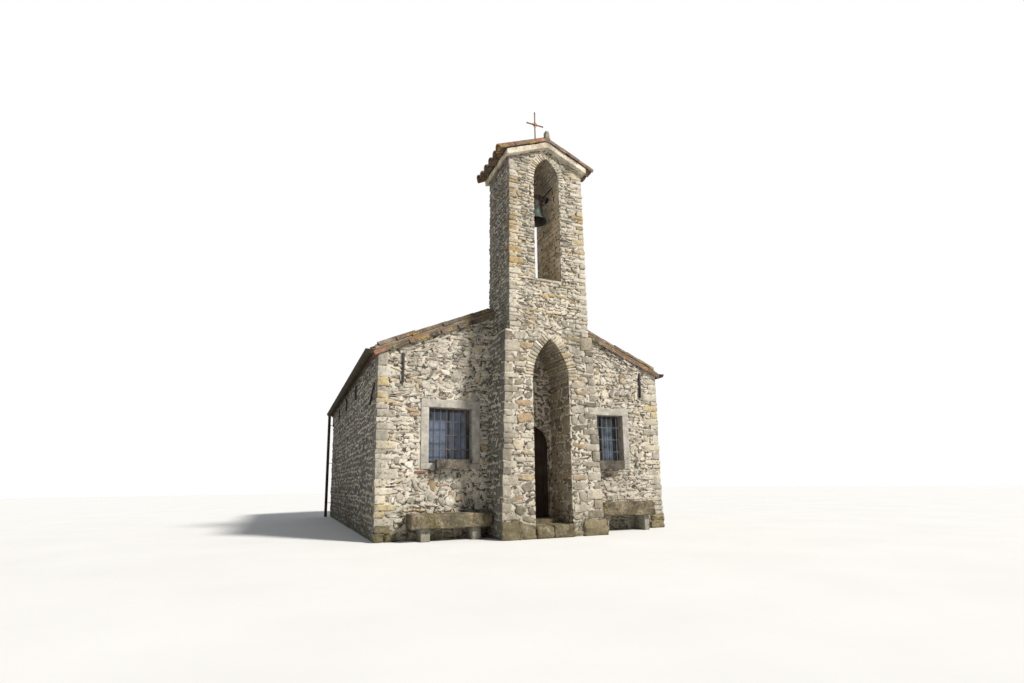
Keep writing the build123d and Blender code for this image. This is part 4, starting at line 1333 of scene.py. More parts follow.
@dataclass
class CornerStones:
    """Bigger stones that turn an upright corner, long and short by turns.

    The corner stands on one side, at half a width that depends on the height, and at a depth;
    inward is 1 if the wall runs back from it, else -1.
    """

    name: str
    finish: Finish
    half: Callable[[float], float]
    side: int
    depth: float
    inward: int
    low: float
    high: float
    heights: Pair = (0.055, 0.125)
    long: float = 0.26
    short: float = 0.14
    proud: float = 0.014
    joint: float = 0.012
    golden: tuple[Pair, ...] = ()
    seed: int = 1
    cuts: int = 2

    def rows(self) -> list[tuple[float, ...]]:
        """Lay out the stones.

        Returns:
            Each stone's foot, head, lengths along x and y, and tone.
        """
        dice = random.Random(self.seed)
        found = []
        z = self.low
        turn = dice.random() < 0.5
        while z < self.high - 0.05:
            top = min(self.high, z + dice.uniform(*self.heights))
            if self.high - top < 0.08:
                top = self.high
            sides = (self.long, self.short) if turn else (self.short, self.long)
            lengths = [side * dice.uniform(0.82, 1.12) for side in sides]
            golden = any(low < z < high for low, high in self.golden) and dice.random() < 0.65
            found.append((z, top, *lengths, dice.uniform(0.72, 0.97) if golden else 0.72 * dice.random()))
            z, turn = top, not turn
        return found

    def length_at(self, z: float, way: int) -> float:
        """Return how far the stones reach along x (way 0) or y (way 1) at a height."""
        return next((row[2 + way] for row in self.rows() if row[0] <= z <= row[1]), self.short)

    def build(self) -> "CornerStones":
        """Model the corner's stones.

        Returns:
            This corner, so that walls can ask how far its stones reach.
        """
        boxes, tones = [], []
        dice = random.Random(self.seed + 500)
        for foot, head, *lengths, tone in self.rows():
            place = (self.side * self.half((foot + head) / 2), self.depth)
            ways = []
            for edge, inward, length in zip(place, (-self.side, self.inward), lengths):
                ways.append((edge - inward * self.proud * dice.uniform(0.2, 1.6), edge + inward * length))
            gap = self.joint / 2 * dice.uniform(0.6, 1.7)
            boxes.append(PLAN.box(*ways, (foot + gap, head - gap)))
            tones.append(tone)
        Hewing(cuts=self.cuts).blocks(self.name, boxes, tones, self.finish)
        return self


@dataclass
class ArchStones:
    """Thin stones set on edge round a pointed opening, right through the wall."""

    name: str
    half: float
    spring: float
    rise: float
    back: float
    ring: float
    thick: float
    tones: Pair = (0.0, 1.0)
    seed: int = 1
    front: float = PLAN.tower_front
    proud: float = 0.014
    lip: float = 0.006
    joint: float = 0.012

    def build(self) -> None:
        """Model the ring: two arcs of wedges that meet at the point."""
        dice = random.Random(self.seed)
        radius = (self.rise**2 + self.half**2) / (2 * self.half)
        offset = radius - self.half
        top = math.atan2(self.rise, offset)
        gap = self.joint / 2 / radius
        verts, faces, tones = [], [], []
        count = max(3, round(radius * top / self.thick))
        for side, _ in SIDES:
            steps = [dice.uniform(0.75, 1.25) for _ in range(count)]
            turn = [top * sum(steps[:n]) / sum(steps) for n in range(count + 1)]
            for a, b in zip(turn, turn[1:]):
                middle = self.front + (self.back - self.front) * dice.uniform(0.35, 0.65)
                ends = [self.front - self.proud, middle, self.back + self.proud]
                for y0, y1 in zip(ends, ends[1:]):
                    tones.append(self.tones[0] + (self.tones[1] - self.tones[0]) * dice.random())
                    near = radius - self.lip + dice.uniform(-0.004, 0.002)
                    far = radius + self.ring * dice.uniform(0.85, 1.1)
                    faces += [[len(verts) + i for i in face] for face in BOX_FACES]
                    for y in (y0 + self.joint / 3, y1 - self.joint / 3):
                        for reach, angle in ((near, a + gap), (far, a + gap), (far, b - gap), (near, b - gap)):
                            x = max(0.003, reach * math.cos(angle) - offset)
                            verts.append(PLAN.at(side * x, y, self.spring + reach * math.sin(angle)))
        piece = new_object(self.name, verts, faces, np.repeat(tones, 6))
        Hewing(0.009, 0.012, 0.008, 1, 0.09).hew(piece, self.name, RING_STONE)


@dataclass
class NaveWalls:
    """Rubble facing and corner stones of the nave."""

    surround: float = 0.158
    sill: float = 0.118
    coarse: tuple[Pair, Pair] = ((0.09, 0.28), (0.07, 0.15))

    def build(self) -> None:
        """Model the stones of the four walls."""
        corners = {}
        for side, word in SIDES:
            for back, end, y in ((0, "front", 0.0), (1, "back", PLAN.length)):
                golden = ((2.3, 3.15),) if side > 0 or back else ((0.2, 0.6), (2.4, 2.9))
                corners[side, back] = CornerStones(
                    f"corner_{end}_{word}", QUOIN_STONE, lambda z: PLAN.half_width, side, y, 1 - 2 * back, 0.0,
                    PLAN.eave - 0.01, (0.08, 0.22), 0.36, 0.19, joint=0.014, golden=golden, seed=20 + side + 5 * back,
                    cuts=2 - back,
                ).build()
        low, high = PLAN.window_sill - self.sill, PLAN.window_head + self.surround

        def front(z: float, side: int) -> list[Pair]:
            """Measure one side of the front at a height.

            Args:
                z: the height.
                side: -1 for the left side, 1 for the right.

            Returns:
                The free widths there.
            """
            outer = PLAN.half_width - (corners[side, 0].length_at(z, 0) if z < PLAN.eave else 0)
            if z > PLAN.eave - 0.05:
                outer = min(outer, PLAN.half_width - (z - PLAN.eave) / PLAN.slope - 0.02)
            reach = PLAN.window_half + self.surround if low - 0.002 < z < high + 0.002 else 0.0
            inner = (PLAN.porch_half(z) if z < PLAN.ledge else PLAN.tower_half(z)) - 0.03
            free = cut_out([(inner, outer)], PLAN.window_middle - reach, PLAN.window_middle + reach)
            return free if side > 0 else sorted((-b, -a) for a, b in free)

        for side, word in SIDES:
            StoneSheet(
                f"front_rubble_{word}", FIELD_STONE, PLAN.at(0, 0, 0), (1, 0, 0), partial(front, side=side), 0.0, 4.28,
                (low, high, PLAN.eave), (0.07, 0.22), (0.055, 0.125), tall=0.2, seed=31 + side,
            ).build()

        def flank(z: float, side: int) -> list[Pair]:
            """Return a side wall's free length at a height."""
            near, far = (corners[side, back].length_at(z, 1) for back in (side < 0, side > 0))
            return [(near, PLAN.length - far)]

        def rear(z: float) -> list[Pair]:
            """Measure the rear at a height, from +X to -X.

            Args:
                z: the height.

            Returns:
                The free widths there.
            """
            if z < PLAN.eave - 0.05:
                near, far = (corners[side, 1].length_at(z, 0) for side in (1, -1))
                return [(-PLAN.half_width + near, PLAN.half_width - far)]
            reach = PLAN.half_width - max(0.0, z - PLAN.eave) / PLAN.slope - 0.02
            return cut_out([(-reach, reach)], 0, 0)

        width, eave = PLAN.half_width, PLAN.eave - 0.01
        for name, finish, place, across, spans, top, levels, seed in (
            ("side_rubble_left", SHADE_STONE, (-width, PLAN.length), (0, -1, 0), partial(flank, side=-1), eave, (), 40),
            ("side_rubble_right", SHADE_STONE, (width, 0), (0, 1, 0), partial(flank, side=1), eave, (), 42),
            ("rear_rubble", FIELD_STONE, (0, PLAN.length), (-1, 0, 0), rear, 4.66, (PLAN.eave,), 51),
        ):
            StoneSheet(
                name, finish, PLAN.at(*place, 0), across, spans, 0.0, top, levels, *self.coarse, joint=0.022, tall=0.2,
                rings=1, seed=seed,
            ).build()


def between(half: float, left: float, right: float, inner: float) -> list[Pair]:
    """Return a face's free widths, from half its width, what its corners take and half its opening."""
    return cut_out([(left - half, half - right)], -inner, inner)


@dataclass
class Porch:
    """Stone facing of the porch and of its deep niche."""

    ring: float = 0.17
    leaf_half: float = 0.35
    door_spring: float = 1.77
    foot: float = 0.32

    def build(self) -> None:
        """Model the porch's stones."""
        face, top = PLAN.tower_front, PLAN.ledge - 0.005
        arch = (PLAN.niche_half, PLAN.niche_spring, PLAN.niche_rise)
        corners = {}
        for side, word in SIDES:
            corners[side] = CornerStones(
                f"porch_corner_{word}", PORCH_STONE, PLAN.porch_half, side, face, 1, 0.0, PLAN.ledge - 0.01,
                (0.09, 0.21), 0.29, 0.16, seed=62 + side,
            ).build()
        ArchStones("niche_ring", *arch, 0.0, self.ring, 0.062, seed=66).build()

        def front(z: float) -> list[Pair]:
            """Return the free widths of the porch's front at a height."""
            lengths = (corners[side].length_at(z, 0) for side, _ in SIDES)
            return between(PLAN.porch_half(z), *lengths, arch_half(z, *arch, self.ring))

        StoneSheet(
            "porch_front_rubble", PORCH_STONE, PLAN.at(0, face, 0), (1, 0, 0), front, 0.0, top, (PLAN.niche_spring,),
            (0.14, 0.36), (0.09, 0.20), tall=0.18, seed=71,
        ).build()
        for side, word in SIDES:
            StoneSheet(
                f"porch_side_{word}", SHADE_STONE if side < 0 else PORCH_STONE, PLAN.at(side * PLAN.foot_half, 0, 0),
                (0, side, 0), lambda z, side=side: side_span(side, face + corners[side].length_at(z, 1), -0.01), 0.0,
                top, (), (0.10, 0.28), (0.07, 0.15), (-side * PLAN.porch_lean / PLAN.ledge, 0, 1), seed=81 + side,
            ).build()
        for side, word in SIDES:
            StoneSheet(
                f"niche_jamb_{word}", NICHE_STONE, PLAN.at(side * PLAN.niche_half, 0, 0), (0, -side, 0),
                lambda z, side=side: side_span(-side, face + 0.005, -0.005), self.foot, PLAN.niche_spring, (),
                (0.17, 0.40), (0.12, 0.22), proud=(0.004, 0.012), joint=0.013, bulge=0.009, tall=0.04, seed=91 + side,
            ).build()

        def back(z: float) -> list[Pair]:
            """Return the free widths of the wall over the door at a height."""
            up = max(0.0, z - self.door_spring)
            return between(arch_half(z, *arch), 0, 0, math.sqrt(max(0.0, self.leaf_half**2 - up**2)))

        StoneSheet(
            "niche_back", NICHE_STONE, PLAN.at(0, 0, 0), (1, 0, 0), back, self.foot, 3.66, (), (0.10, 0.22),
            (0.07, 0.14), proud=(0.003, 0.010), bulge=0.008, seed=97,
        ).build()


@dataclass
class Tower:
    """Stone facing of the belfry tower above the porch."""

    ring: float = 0.13
    back_foot: float = 4.45
    top: float = 7.60
    fine: tuple[Pair, Pair] = ((0.07, 0.20), (0.045, 0.095))

    def build(self) -> None:
        """Model the tower's stones."""
        face, rear_face, top = PLAN.tower_front, PLAN.tower_back, PLAN.tower_top
        arch = (PLAN.belfry_half, PLAN.belfry_spring, PLAN.belfry_rise)
        corners = {}
        for side, word in SIDES:
            for back, end, y, low in ((0, "front", face, PLAN.ledge), (1, "back", rear_face, self.back_foot)):
                corners[side, back] = CornerStones(
                    f"tower_corner_{end}_{word}", QUOIN_STONE, PLAN.tower_half, side, y, 1 - 2 * back, low, top - 0.02,
                    golden=((5.0, 7.0),) if side < 0 else ((5.5, 6.5),), seed=102 + side + 7 * back, cuts=2 - back,
                ).build()
        ArchStones("belfry_ring", *arch, rear_face, self.ring, 0.055, (0.2, 1.0), 106).build()

        def front(z: float, back: int = 0) -> list[Pair]:
            """Measure the front, or the back as seen from the front, at a height.

            Args:
                z: the height.
                back: 0 for the front, 1 for the back.

            Returns:
                The free widths there.
            """
            half = min(PLAN.tower_half(z), 0.795 - (z - top) / PLAN.slope)
            ends = [corners[side, back].length_at(z, 0) if z < top - 0.02 else 0.0 for side, _ in SIDES]
            return between(half, *ends, arch_half(z, *arch, self.ring) if z > PLAN.belfry_sill else 0.0)

        def rear(z: float) -> list[Pair]:
            """Return the free widths of the back above the nave's roof, from +X to -X."""
            hidden = max(0.0, (4.74 - z) / PLAN.slope)
            return cut_out([(-b, -a) for a, b in reversed(front(z, 1))], -hidden, hidden)

        def flank(z: float, side: int) -> list[Pair]:
            """Measure a side at a height over the ledge.

            Args:
                z: the height.
                side: -1 for the left side, 1 for the right.

            Returns:
                The free length there.
            """
            z += PLAN.ledge
            near, far = (corners[side, back].length_at(z, 1) for back in (0, 1))
            return side_span(side, face + near, rear_face - far if z > 4.55 else 0.0)

        levels = (PLAN.belfry_sill, PLAN.belfry_spring, top)
        half, ledge, lean = PLAN.ledge_half, PLAN.ledge, PLAN.tower_lean / (top - PLAN.ledge)
        left, right = (partial(flank, side=side) for side, _ in SIDES)
        for name, finish, place, across, spans, low, high, lines, tilt, seed in (
            ("front_rubble", TOWER_STONE, (0, face, 0), (1, 0, 0), front, ledge, self.top, levels, 0, 111),
            ("back_rubble", TOWER_STONE, (0, rear_face, 0), (-1, 0, 0), rear, self.back_foot, self.top, levels, 0, 112),
            ("side_left", SHADE_STONE, (-half, 0, ledge), (0, -1, 0), left, 0, top - ledge - 0.02, (0.73,), lean, 120),
            ("side_right", TOWER_STONE, (half, 0, ledge), (0, 1, 0), right, 0, top - ledge - 0.02, (0.73,), -lean, 122),
        ):
            StoneSheet(
                f"tower_{name}", finish, PLAN.at(*place), across, spans, low, high, lines, *self.fine, (tilt, 0, 1),
                0.013, seed=seed,
            ).build()
        for side, word in SIDES:
            StoneSheet(
                f"belfry_jamb_{word}", BELFRY_STONE, PLAN.at(side * PLAN.belfry_half, 0, 0), (0, -side, 0),
                lambda z, side=side: side_span(-side, face + 0.005, rear_face - 0.005), PLAN.belfry_sill,
                PLAN.belfry_spring, (), (0.16, 0.36), (0.06, 0.13), joint=0.012, proud=(0.002, 0.009), bulge=0.007,
                tall=0.0, seed=131 + side,
            ).build()


# Tiled roofs


def coppo(
    length: float, wide: float, narrow: float, flat: float, thick: float = 0.013, hollow_up: bool = False
) -> Thing:
    """Return one barrel tile that runs down along +X from the origin, its wide end lowest if it is a cover.

    Args:
        length: its length.
        wide: radius of the wide end.
        narrow: radius of the narrow end.
        flat: share that the half round is pressed flat.
        thick: thickness of the clay.
        hollow_up: whether it is a channel tile, with its hollow up and its wide end highest.

    Returns:
        The modelled tile.
    """
    tile = primitive(
        "cylinder", vertices=12, radius=wide, depth=length, end_fill_type="NOTHING", rotation=(0, math.pi / 2, 0)
    )
    edit(tile, ("bisect", {"plane_co": (0, 0, 0.0001), "plane_no": (0, 0, 1), "clear_inner": True}))
    for point in tile.data.vertices:
        if (point.co.x > 0) == hollow_up:
            point.co.yz = Vector(point.co.yz) * narrow / wide
        point.co.z *= flat * (-1 if hollow_up else 1)
        point.co.x += length / 2
    use_modifier(tile, "SOLIDIFY", thickness=thick, offset=-1, use_even_offset=True)
    face_outwards(tile)
    return tile


@dataclass
class Slope:
    """One roof slope's frame: its eave's reach and height, and its side."""

    reach: float
    seat: float
    side: int

    def frame(self, y: float, along: float, lift: float, tilt: float, turn: float) -> Matrix:
        """Return the place of one tile.

        Args:
            y: place along the building, from the front wall's face.
            along: distance of its upper end from the eave, up the slope.
            lift: height over the boards, square to them.
            tilt: how far its lower end is lifted.
            turn: how far it is turned on the slope.

        Returns:
            The matrix.
        """
        down = Vector((self.side * math.cos(PLAN.pitch), 0, -math.sin(PLAN.pitch)))
        out = Vector((self.side * math.sin(PLAN.pitch), 0, math.cos(PLAN.pitch)))
        origin = PLAN.at(self.side * self.reach, y, self.seat) - down * along + out * lift
        axes = Matrix((down, out.cross(down), out)).transposed().to_4x4()
        return Matrix.Translation(origin) @ axes @ Matrix.Rotation(-tilt, 4, "Y") @ Matrix.Rotation(turn, 4, "Z")


@dataclass
class TileRow:
    """Barrel tiles that are one piece: their places and their tones."""

    name: str
    seed: int
    wobble: float = 0.0012
    places: list[Matrix] = field(default_factory=list)
    tones: list[float] = field(default_factory=list)

    def lay(self, place: Matrix, tone: float) -> None:
        """Lay a tile at a place."""
        self.places.append(place)
        self.tones.append(min(1, max(0, tone)))

    def build(self, tile: Thing, *replaces: str, uneven: float = 0.0) -> None:
        """Copy a tile to all places.

        Args:
            tile: the modelled tile.
            replaces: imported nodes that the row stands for.
            uneven: travel of its unevenness.
        """
        row = array_copies(tile, self.name, self.places, self.tones, self.wobble, self.seed)
        if uneven:
            roughen(row, 0.06, uneven, 1)
        finish_piece(row, self.name, CLAY_TILE, *replaces, degrees=50)


@dataclass
class TileField:
    """A slope of barrel tiles: channel tiles below and cover tiles over their joints."""

    name: str
    slope: Slope
    start: float
    stop: float
    columns: int
    run: float
    length: float = 0.46
    step: float = 0.347
    wide: float = 0.104
    narrow: float = 0.084
    seed: int = 1

    def build(self, *replaces: str) -> None:
        """Model the slope's tiles.

        Args:
            replaces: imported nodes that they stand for.
        """
        draw = (dice := random.Random(self.seed)).uniform
        pitch = (self.stop - self.start) / self.columns
        channels = TileRow(f"{self.name}_channels", self.seed, 0.0008)
        covers = TileRow(f"{self.name}_covers", self.seed + 1)
        for column in range(self.columns + 1):
            for row in range(math.ceil(self.run / self.step)):
                upper = min(min(self.run, (row + 1) * self.step) + self.length - self.step, self.run)
                if column < self.columns:
                    y = self.start + (column + 0.5) * pitch + draw(-0.006, 0.006)
                    channels.lay(self.slope.frame(y, upper, 0.072, 0.012, draw(-0.02, 0.02)), dice.random() * 0.6)
                if 0 < column < self.columns:
                    y = self.start + column * pitch + draw(-0.009, 0.009)
                    lift = 0.028 + draw(-0.003, 0.004)
                    covers.lay(self.slope.frame(y, upper, lift, -0.022, draw(-0.03, 0.03)), dice.gauss(0.5, 0.27))
        sizes = (self.length, self.wide, self.narrow)
        channels.build(coppo(*sizes, 0.6, hollow_up=True))
        covers.build(coppo(*sizes, 0.78), *replaces)


def tube(name: str, rings: Sequence[Sequence[Vector]]) -> Thing:
    """Return a closed body through rings of equally many points.

    Args:
        name: its name.
        rings: the rings' points, one ring after the other.

    Returns:
        The object.
    """
    size = len(rings[0])
    last = size * (len(rings) - 1)
    faces = [range(size)[::-1], range(last, last + size)]
    for n in range(0, last, size):
        faces += [(n + k, n + (k + 1) % size, n + size + (k + 1) % size, n + size + k) for k in range(size)]
    piece = new_object(name, [point for ring in rings for point in ring], faces)
    face_outwards(piece)
    return piece


@dataclass
class NaveRoof:
    """Barrel tiles, ridge and verges of the nave's roof."""

    drip: float = 3.205
    boards: float = 0.0325
    ridge_seat: float = 4.866
    front: float = 0.13
    back: float = 9.07
    columns: int = 35
    ridge_end: float = 9.262
    ridge_rows: int = 26
    bed_half: float = 0.10
    bed_heights: Pair = (-0.09, 0.035)
    verge_step: float = 0.335
    verge_length: float = 0.40

    def boards_top(self, x: float) -> float:
        """Return the height of the roof boards' upper side."""
        return PLAN.eave + (PLAN.half_width - abs(x)) * PLAN.slope + self.boards

    def slope(self, side: int) -> Slope:
        """Return one of the roof's two slopes."""
        return Slope(self.drip, self.boards_top(self.drip), side)

    def build(self) -> None:
        """Model the whole covering."""
        run = self.drip / math.cos(PLAN.pitch) - 0.05
        ends = (self.front - 0.03, self.back + 0.03)
        for side, word in SIDES:
            TileField(
                f"nave_tiles_{word}", self.slope(side), *ends, self.columns, run, seed=201 + side
            ).build(f"roof_tiles_{word}")
        self.ridge()
        for word, face, inward, seed in (("front", -0.07, 1, 211), ("rear", 9.27, -1, 212)):
            self.verge(f"{word}_verge", face, inward, seed)

    def ridge(self) -> None:
        """Model the ridge row with its bed of mortar."""
        draw = (dice := random.Random(205)).uniform
        row = TileRow("ridge_row", 205, 0.0015)
        start = self.front + 0.10
        step = (self.ridge_end - 0.46 - start) / (self.ridge_rows - 1)
        for number in range(self.ridge_rows):
            turn = Matrix.Rotation(math.pi / 2 + draw(-0.02, 0.02), 4, "Z")
            place = PLAN.at(draw(-0.006, 0.006), start + number * step, self.ridge_seat + 0.002)
            row.lay(Matrix.Translation(place) @ turn @ Matrix.Rotation(0.012, 4, "Y"), dice.random())
        row.build(coppo(0.46, 0.122, 0.106, 0.88, 0.015), "roof_ridge_tiles")
        ends = (self.front + 0.02, self.ridge_end - 0.03)
        heights = [self.ridge_seat + height for height in self.bed_heights]
        bed = block((-self.bed_half, self.bed_half), ends, heights, 0.02)
        subdivide(bed, 14)
        roughen(bed, 0.11, 0.03, 2)
        finish_piece(bed, "ridge_bedding", BEDDING, degrees=60)

    def verge(self, name: str, face: float, inward: int, seed: int) -> None:
        """Model one gable's verge: cover tiles over a course of tiles laid on edge, and their mortar.

        Args:
            name: start of the pieces' names.
            face: the outer face, from the front wall's face.
            inward: 1 if the nave lies towards +Y, else -1.
            seed: start of the random numbers.
        """
        draw = (dice := random.Random(seed)).uniform
        length = (self.drip - 0.06) / math.cos(PLAN.pitch)
        for layer, inset, lift, flat, wide, start, replaces in (
            ("edge_tiles", 0.116, -0.092, 1.30, 0.114, 0.0, (f"{name}_tiles",)),
            ("covers", 0.165, 0.056, 1.0, 0.096, 0.15, ()),
        ):
            row = TileRow(f"{name}_{layer}", seed, 0.0015)
            for side, _ in SIDES:
                reach = start
                while reach < length - 0.1:
                    along = min(length + 0.04, reach + self.verge_length)
                    y, height = face + inward * (inset + draw(-0.010, 0.006)), lift + draw(-0.008, 0.006)
                    place = self.slope(side).frame(y, along, height, -0.078, draw(-0.03, 0.03))
                    row.lay(place, dice.gauss(0.45, 0.3))
                    reach += self.verge_step * draw(0.9, 1.1)
            row.build(coppo(self.verge_length, wide, wide - 0.020, flat, 0.020), *replaces, uneven=0.006)
        y0, y1 = sorted((face + inward * 0.045, face + inward * 0.22))
        outline = ((y0, -0.055), (y1, 0.001), (y1, 0.070), ((y0 + y1) / 2, 0.085), (y0, -0.010))
        xs = [0.05 + (self.drip - 0.1) * step / 40 for step in range(41)]
        for side, word in SIDES:
            rings = [[PLAN.at(side * x, y, self.boards_top(x) + lift) for y, lift in outline] for x in xs]
            bedding = tube(f"{name}_bedding_{word}", rings)
            roughen(bedding, 0.05, 0.012, 1)
            finish_piece(bedding, bedding.name, BEDDING, degrees=60)


@dataclass
class TowerRoof:
    """The tower's roof: its mortar bed, barrel tiles, ridge row, end stone and eaves bricks."""

    ridge_under: float = 7.7035
    bed: float = 0.115
    half: float = 0.885
    reach: float = 1.045
    front: float = -0.925
    back: float = 0.34
    columns: int = 5
    crown: float = 7.9035
    step: float = 0.365
    edge: float = 0.085
    end_half: float = 0.055
    end_deep: float = 0.10
    end_heights: Pair = (-0.10, 0.155)
    brick_ends: Pair = (0.74, 0.835)
    brick_heights: Pair = (7.335, 7.368)
    brick_lengths: Pair = (0.16, 0.26)

    def build(self) -> None:
        """Model the tower's roof."""
        self.band()
        slopes = {side: Slope(self.reach, self.ridge_under + 0.13 - self.reach * PLAN.slope, side) for side, _ in SIDES}
        run = self.reach / math.cos(PLAN.pitch) - 0.02
        ends = (self.front + 0.012, self.back - 0.012)
        sizes = (0.42, self.step, 0.100, 0.080)
        for side, word in SIDES:
            TileField(
                f"tower_tiles_{word}", slopes[side], *ends, self.columns, run, *sizes, 221 + side
            ).build(*(("tower_roof_tiles",) if side > 0 else ()))
        draw = (dice := random.Random(231)).uniform
        covers = TileRow("tower_edge_covers", 231)
        for side, _ in SIDES:
            for y in (self.front + self.edge, self.back - self.edge):
                for row in range(3):
                    along, lift = min((row + 1) * self.step + 0.055, run), draw(0.006, 0.014)
                    covers.lay(slopes[side].frame(y, along, lift, -0.045, draw(-0.02, 0.02)), dice.random())
        covers.build(coppo(0.42, 0.106, 0.092, 1.22, 0.016))
        self.ridge()
        self.end_stone()
        self.eaves_bricks()

    def band(self) -> None:
        """Model the thick, uneven bed of mortar that shows under the tiles."""
        y0, y1 = self.front + 0.014, self.back - 0.014
        ys = [y0 + (y1 - y0) * step / 30 for step in range(31)]
        outline = [*((y, 0.0) for y in ys), *((y, self.bed) for y in reversed(ys))]
        xs = [self.half * (step / 24 - 1) for step in range(49)]
        rings = [[PLAN.at(x, y, self.ridge_under - abs(x) * PLAN.slope + up) for y, up in outline] for x in xs]
        piece = tube("tower_verge_band", rings)
        roughen(piece, 0.13, 0.022, 2)
        roughen(piece, 0.035, 0.010, 1)
        finish_piece(piece, piece.name, BAND_MORTAR, "tower_roof_bed", degrees=60)

    def ridge(self) -> None:
        """Model the ridge row."""
        dice = random.Random(235)
        row = TileRow("tower_ridge_row", 235)
        y = self.front + 0.02
        while y < self.back - 0.2:
            turn = Matrix.Rotation(math.pi / 2 + dice.uniform(-0.02, 0.02), 4, "Z")
            row.lay(Matrix.Translation(PLAN.at(0, y, self.crown - 0.012)) @ turn, dice.random())
            y += 0.30
        row.build(coppo(0.40, 0.088, 0.074, 0.92), "tower_ridge_tiles")

    def end_stone(self) -> None:
        """Model the small stone set upright against the front end of the ridge row."""
        low, high = (self.crown + height for height in self.end_heights)
        front = self.front - 0.005
        stone = block((-self.end_half, self.end_half), (front, front + self.end_deep), (low, high), cuts=3)
        for point in stone.data.vertices:
            point.co.x *= 1.15 - 0.45 * (point.co.z - low) / (high - low)
        Hewing(cuts=1, size=0.07).hew(stone, "ridge_end_stone", BEDDING)

    def eaves_bricks(self) -> None:
        """Model the thin bricks bedded under the band at the eaves."""
        dice = random.Random(237)
        boxes, tones = [], []
        for side, _ in SIDES:
            y = PLAN.tower_front + 0.01
            while y < PLAN.tower_back - 0.1:
                end = min(y + dice.uniform(*self.brick_lengths), PLAN.tower_back)
                xs = (side * self.brick_ends[0], side * (self.brick_ends[1] + dice.uniform(0, 0.02)))
                boxes.append(PLAN.box(xs, (y + 0.006, end - 0.006), self.brick_heights))
                tones.append(dice.uniform(0.3, 0.9))
                y = end
        Hewing(0.005, 0.004, 0.003, 1).blocks("eaves_bricks", boxes, tones, CLAY_TILE)


@dataclass
class RoofCross:
    """The forged cross on the tower, with flared ends, curved bars in its corners and a small collar.

    A flared end has two radii and a length, the collar half a width, a foot and a head, and a
    curved bar a distance from the middle, a radius and half a thickness.
    """

    depth: float = -0.360
    foot: float = 7.955
    top: float = 8.885
    arms: float = 8.59
    span: float = 0.40
    half: float = 0.011
    boss: float = 0.022
    collar: Triple = (0.026, 8.03, 8.05)
    flare: Triple = (0.009, 0.021, 0.03)
    inset: float = 0.022
    curve: Triple = (0.085, 0.075, 0.0045)

    def build(self) -> None:
        """Model the cross."""
        y, half, boss, arm, inset = self.depth, self.half, self.boss, self.span / 2, self.inset
        parts = [
            block((-wide, wide), (y - deep, y + deep), (low, high), edge)
            for wide, deep, low, high, edge in (
                (half, half, self.foot, self.top - 0.02, 0.002),
                (arm - 0.02, half * 0.8, self.arms - half, self.arms + half, 0.002),
                (boss, boss, self.arms - boss, self.arms + boss, 0.006),
                (self.collar[0], *self.collar, 0.006),
            )
        ]
        narrow, wide, length = self.flare
        for x, z, turn in ((inset - arm, self.arms, -1), (arm - inset, self.arms, 1), (0, self.top - inset, 0)):
            bud = primitive(
                "cone", vertices=12, radius1=narrow, radius2=wide, depth=length, location=PLAN.at(x, y, z),
                rotation=(0, turn * math.pi / 2, 0),
            )
            use_modifier(bud, "BEVEL", width=0.006, segments=2, limit_method="ANGLE")
            parts.append(bud)
        out, major, minor = self.curve
        for x, z in ((-1, -1), (-1, 1), (1, -1), (1, 1)):
            middle = PLAN.at(x * out, y, self.arms + z * out)
            scroll = primitive(
                "torus", location=middle, rotation=(math.pi / 2, 0, 0), major_radius=major, minor_radius=minor,
                major_segments=24, minor_segments=6,
            )
            for way in ((x, 0, 0), (0, 0, z)):
                edit(scroll, ("bisect", {"plane_co": middle, "plane_no": way, "clear_outer": True, "use_fill": True}))
            parts.append(scroll)
        finish_piece(join_pieces(parts), "forged_cross", RUSTY_IRON, "roof_cross", degrees=35)


# Openings


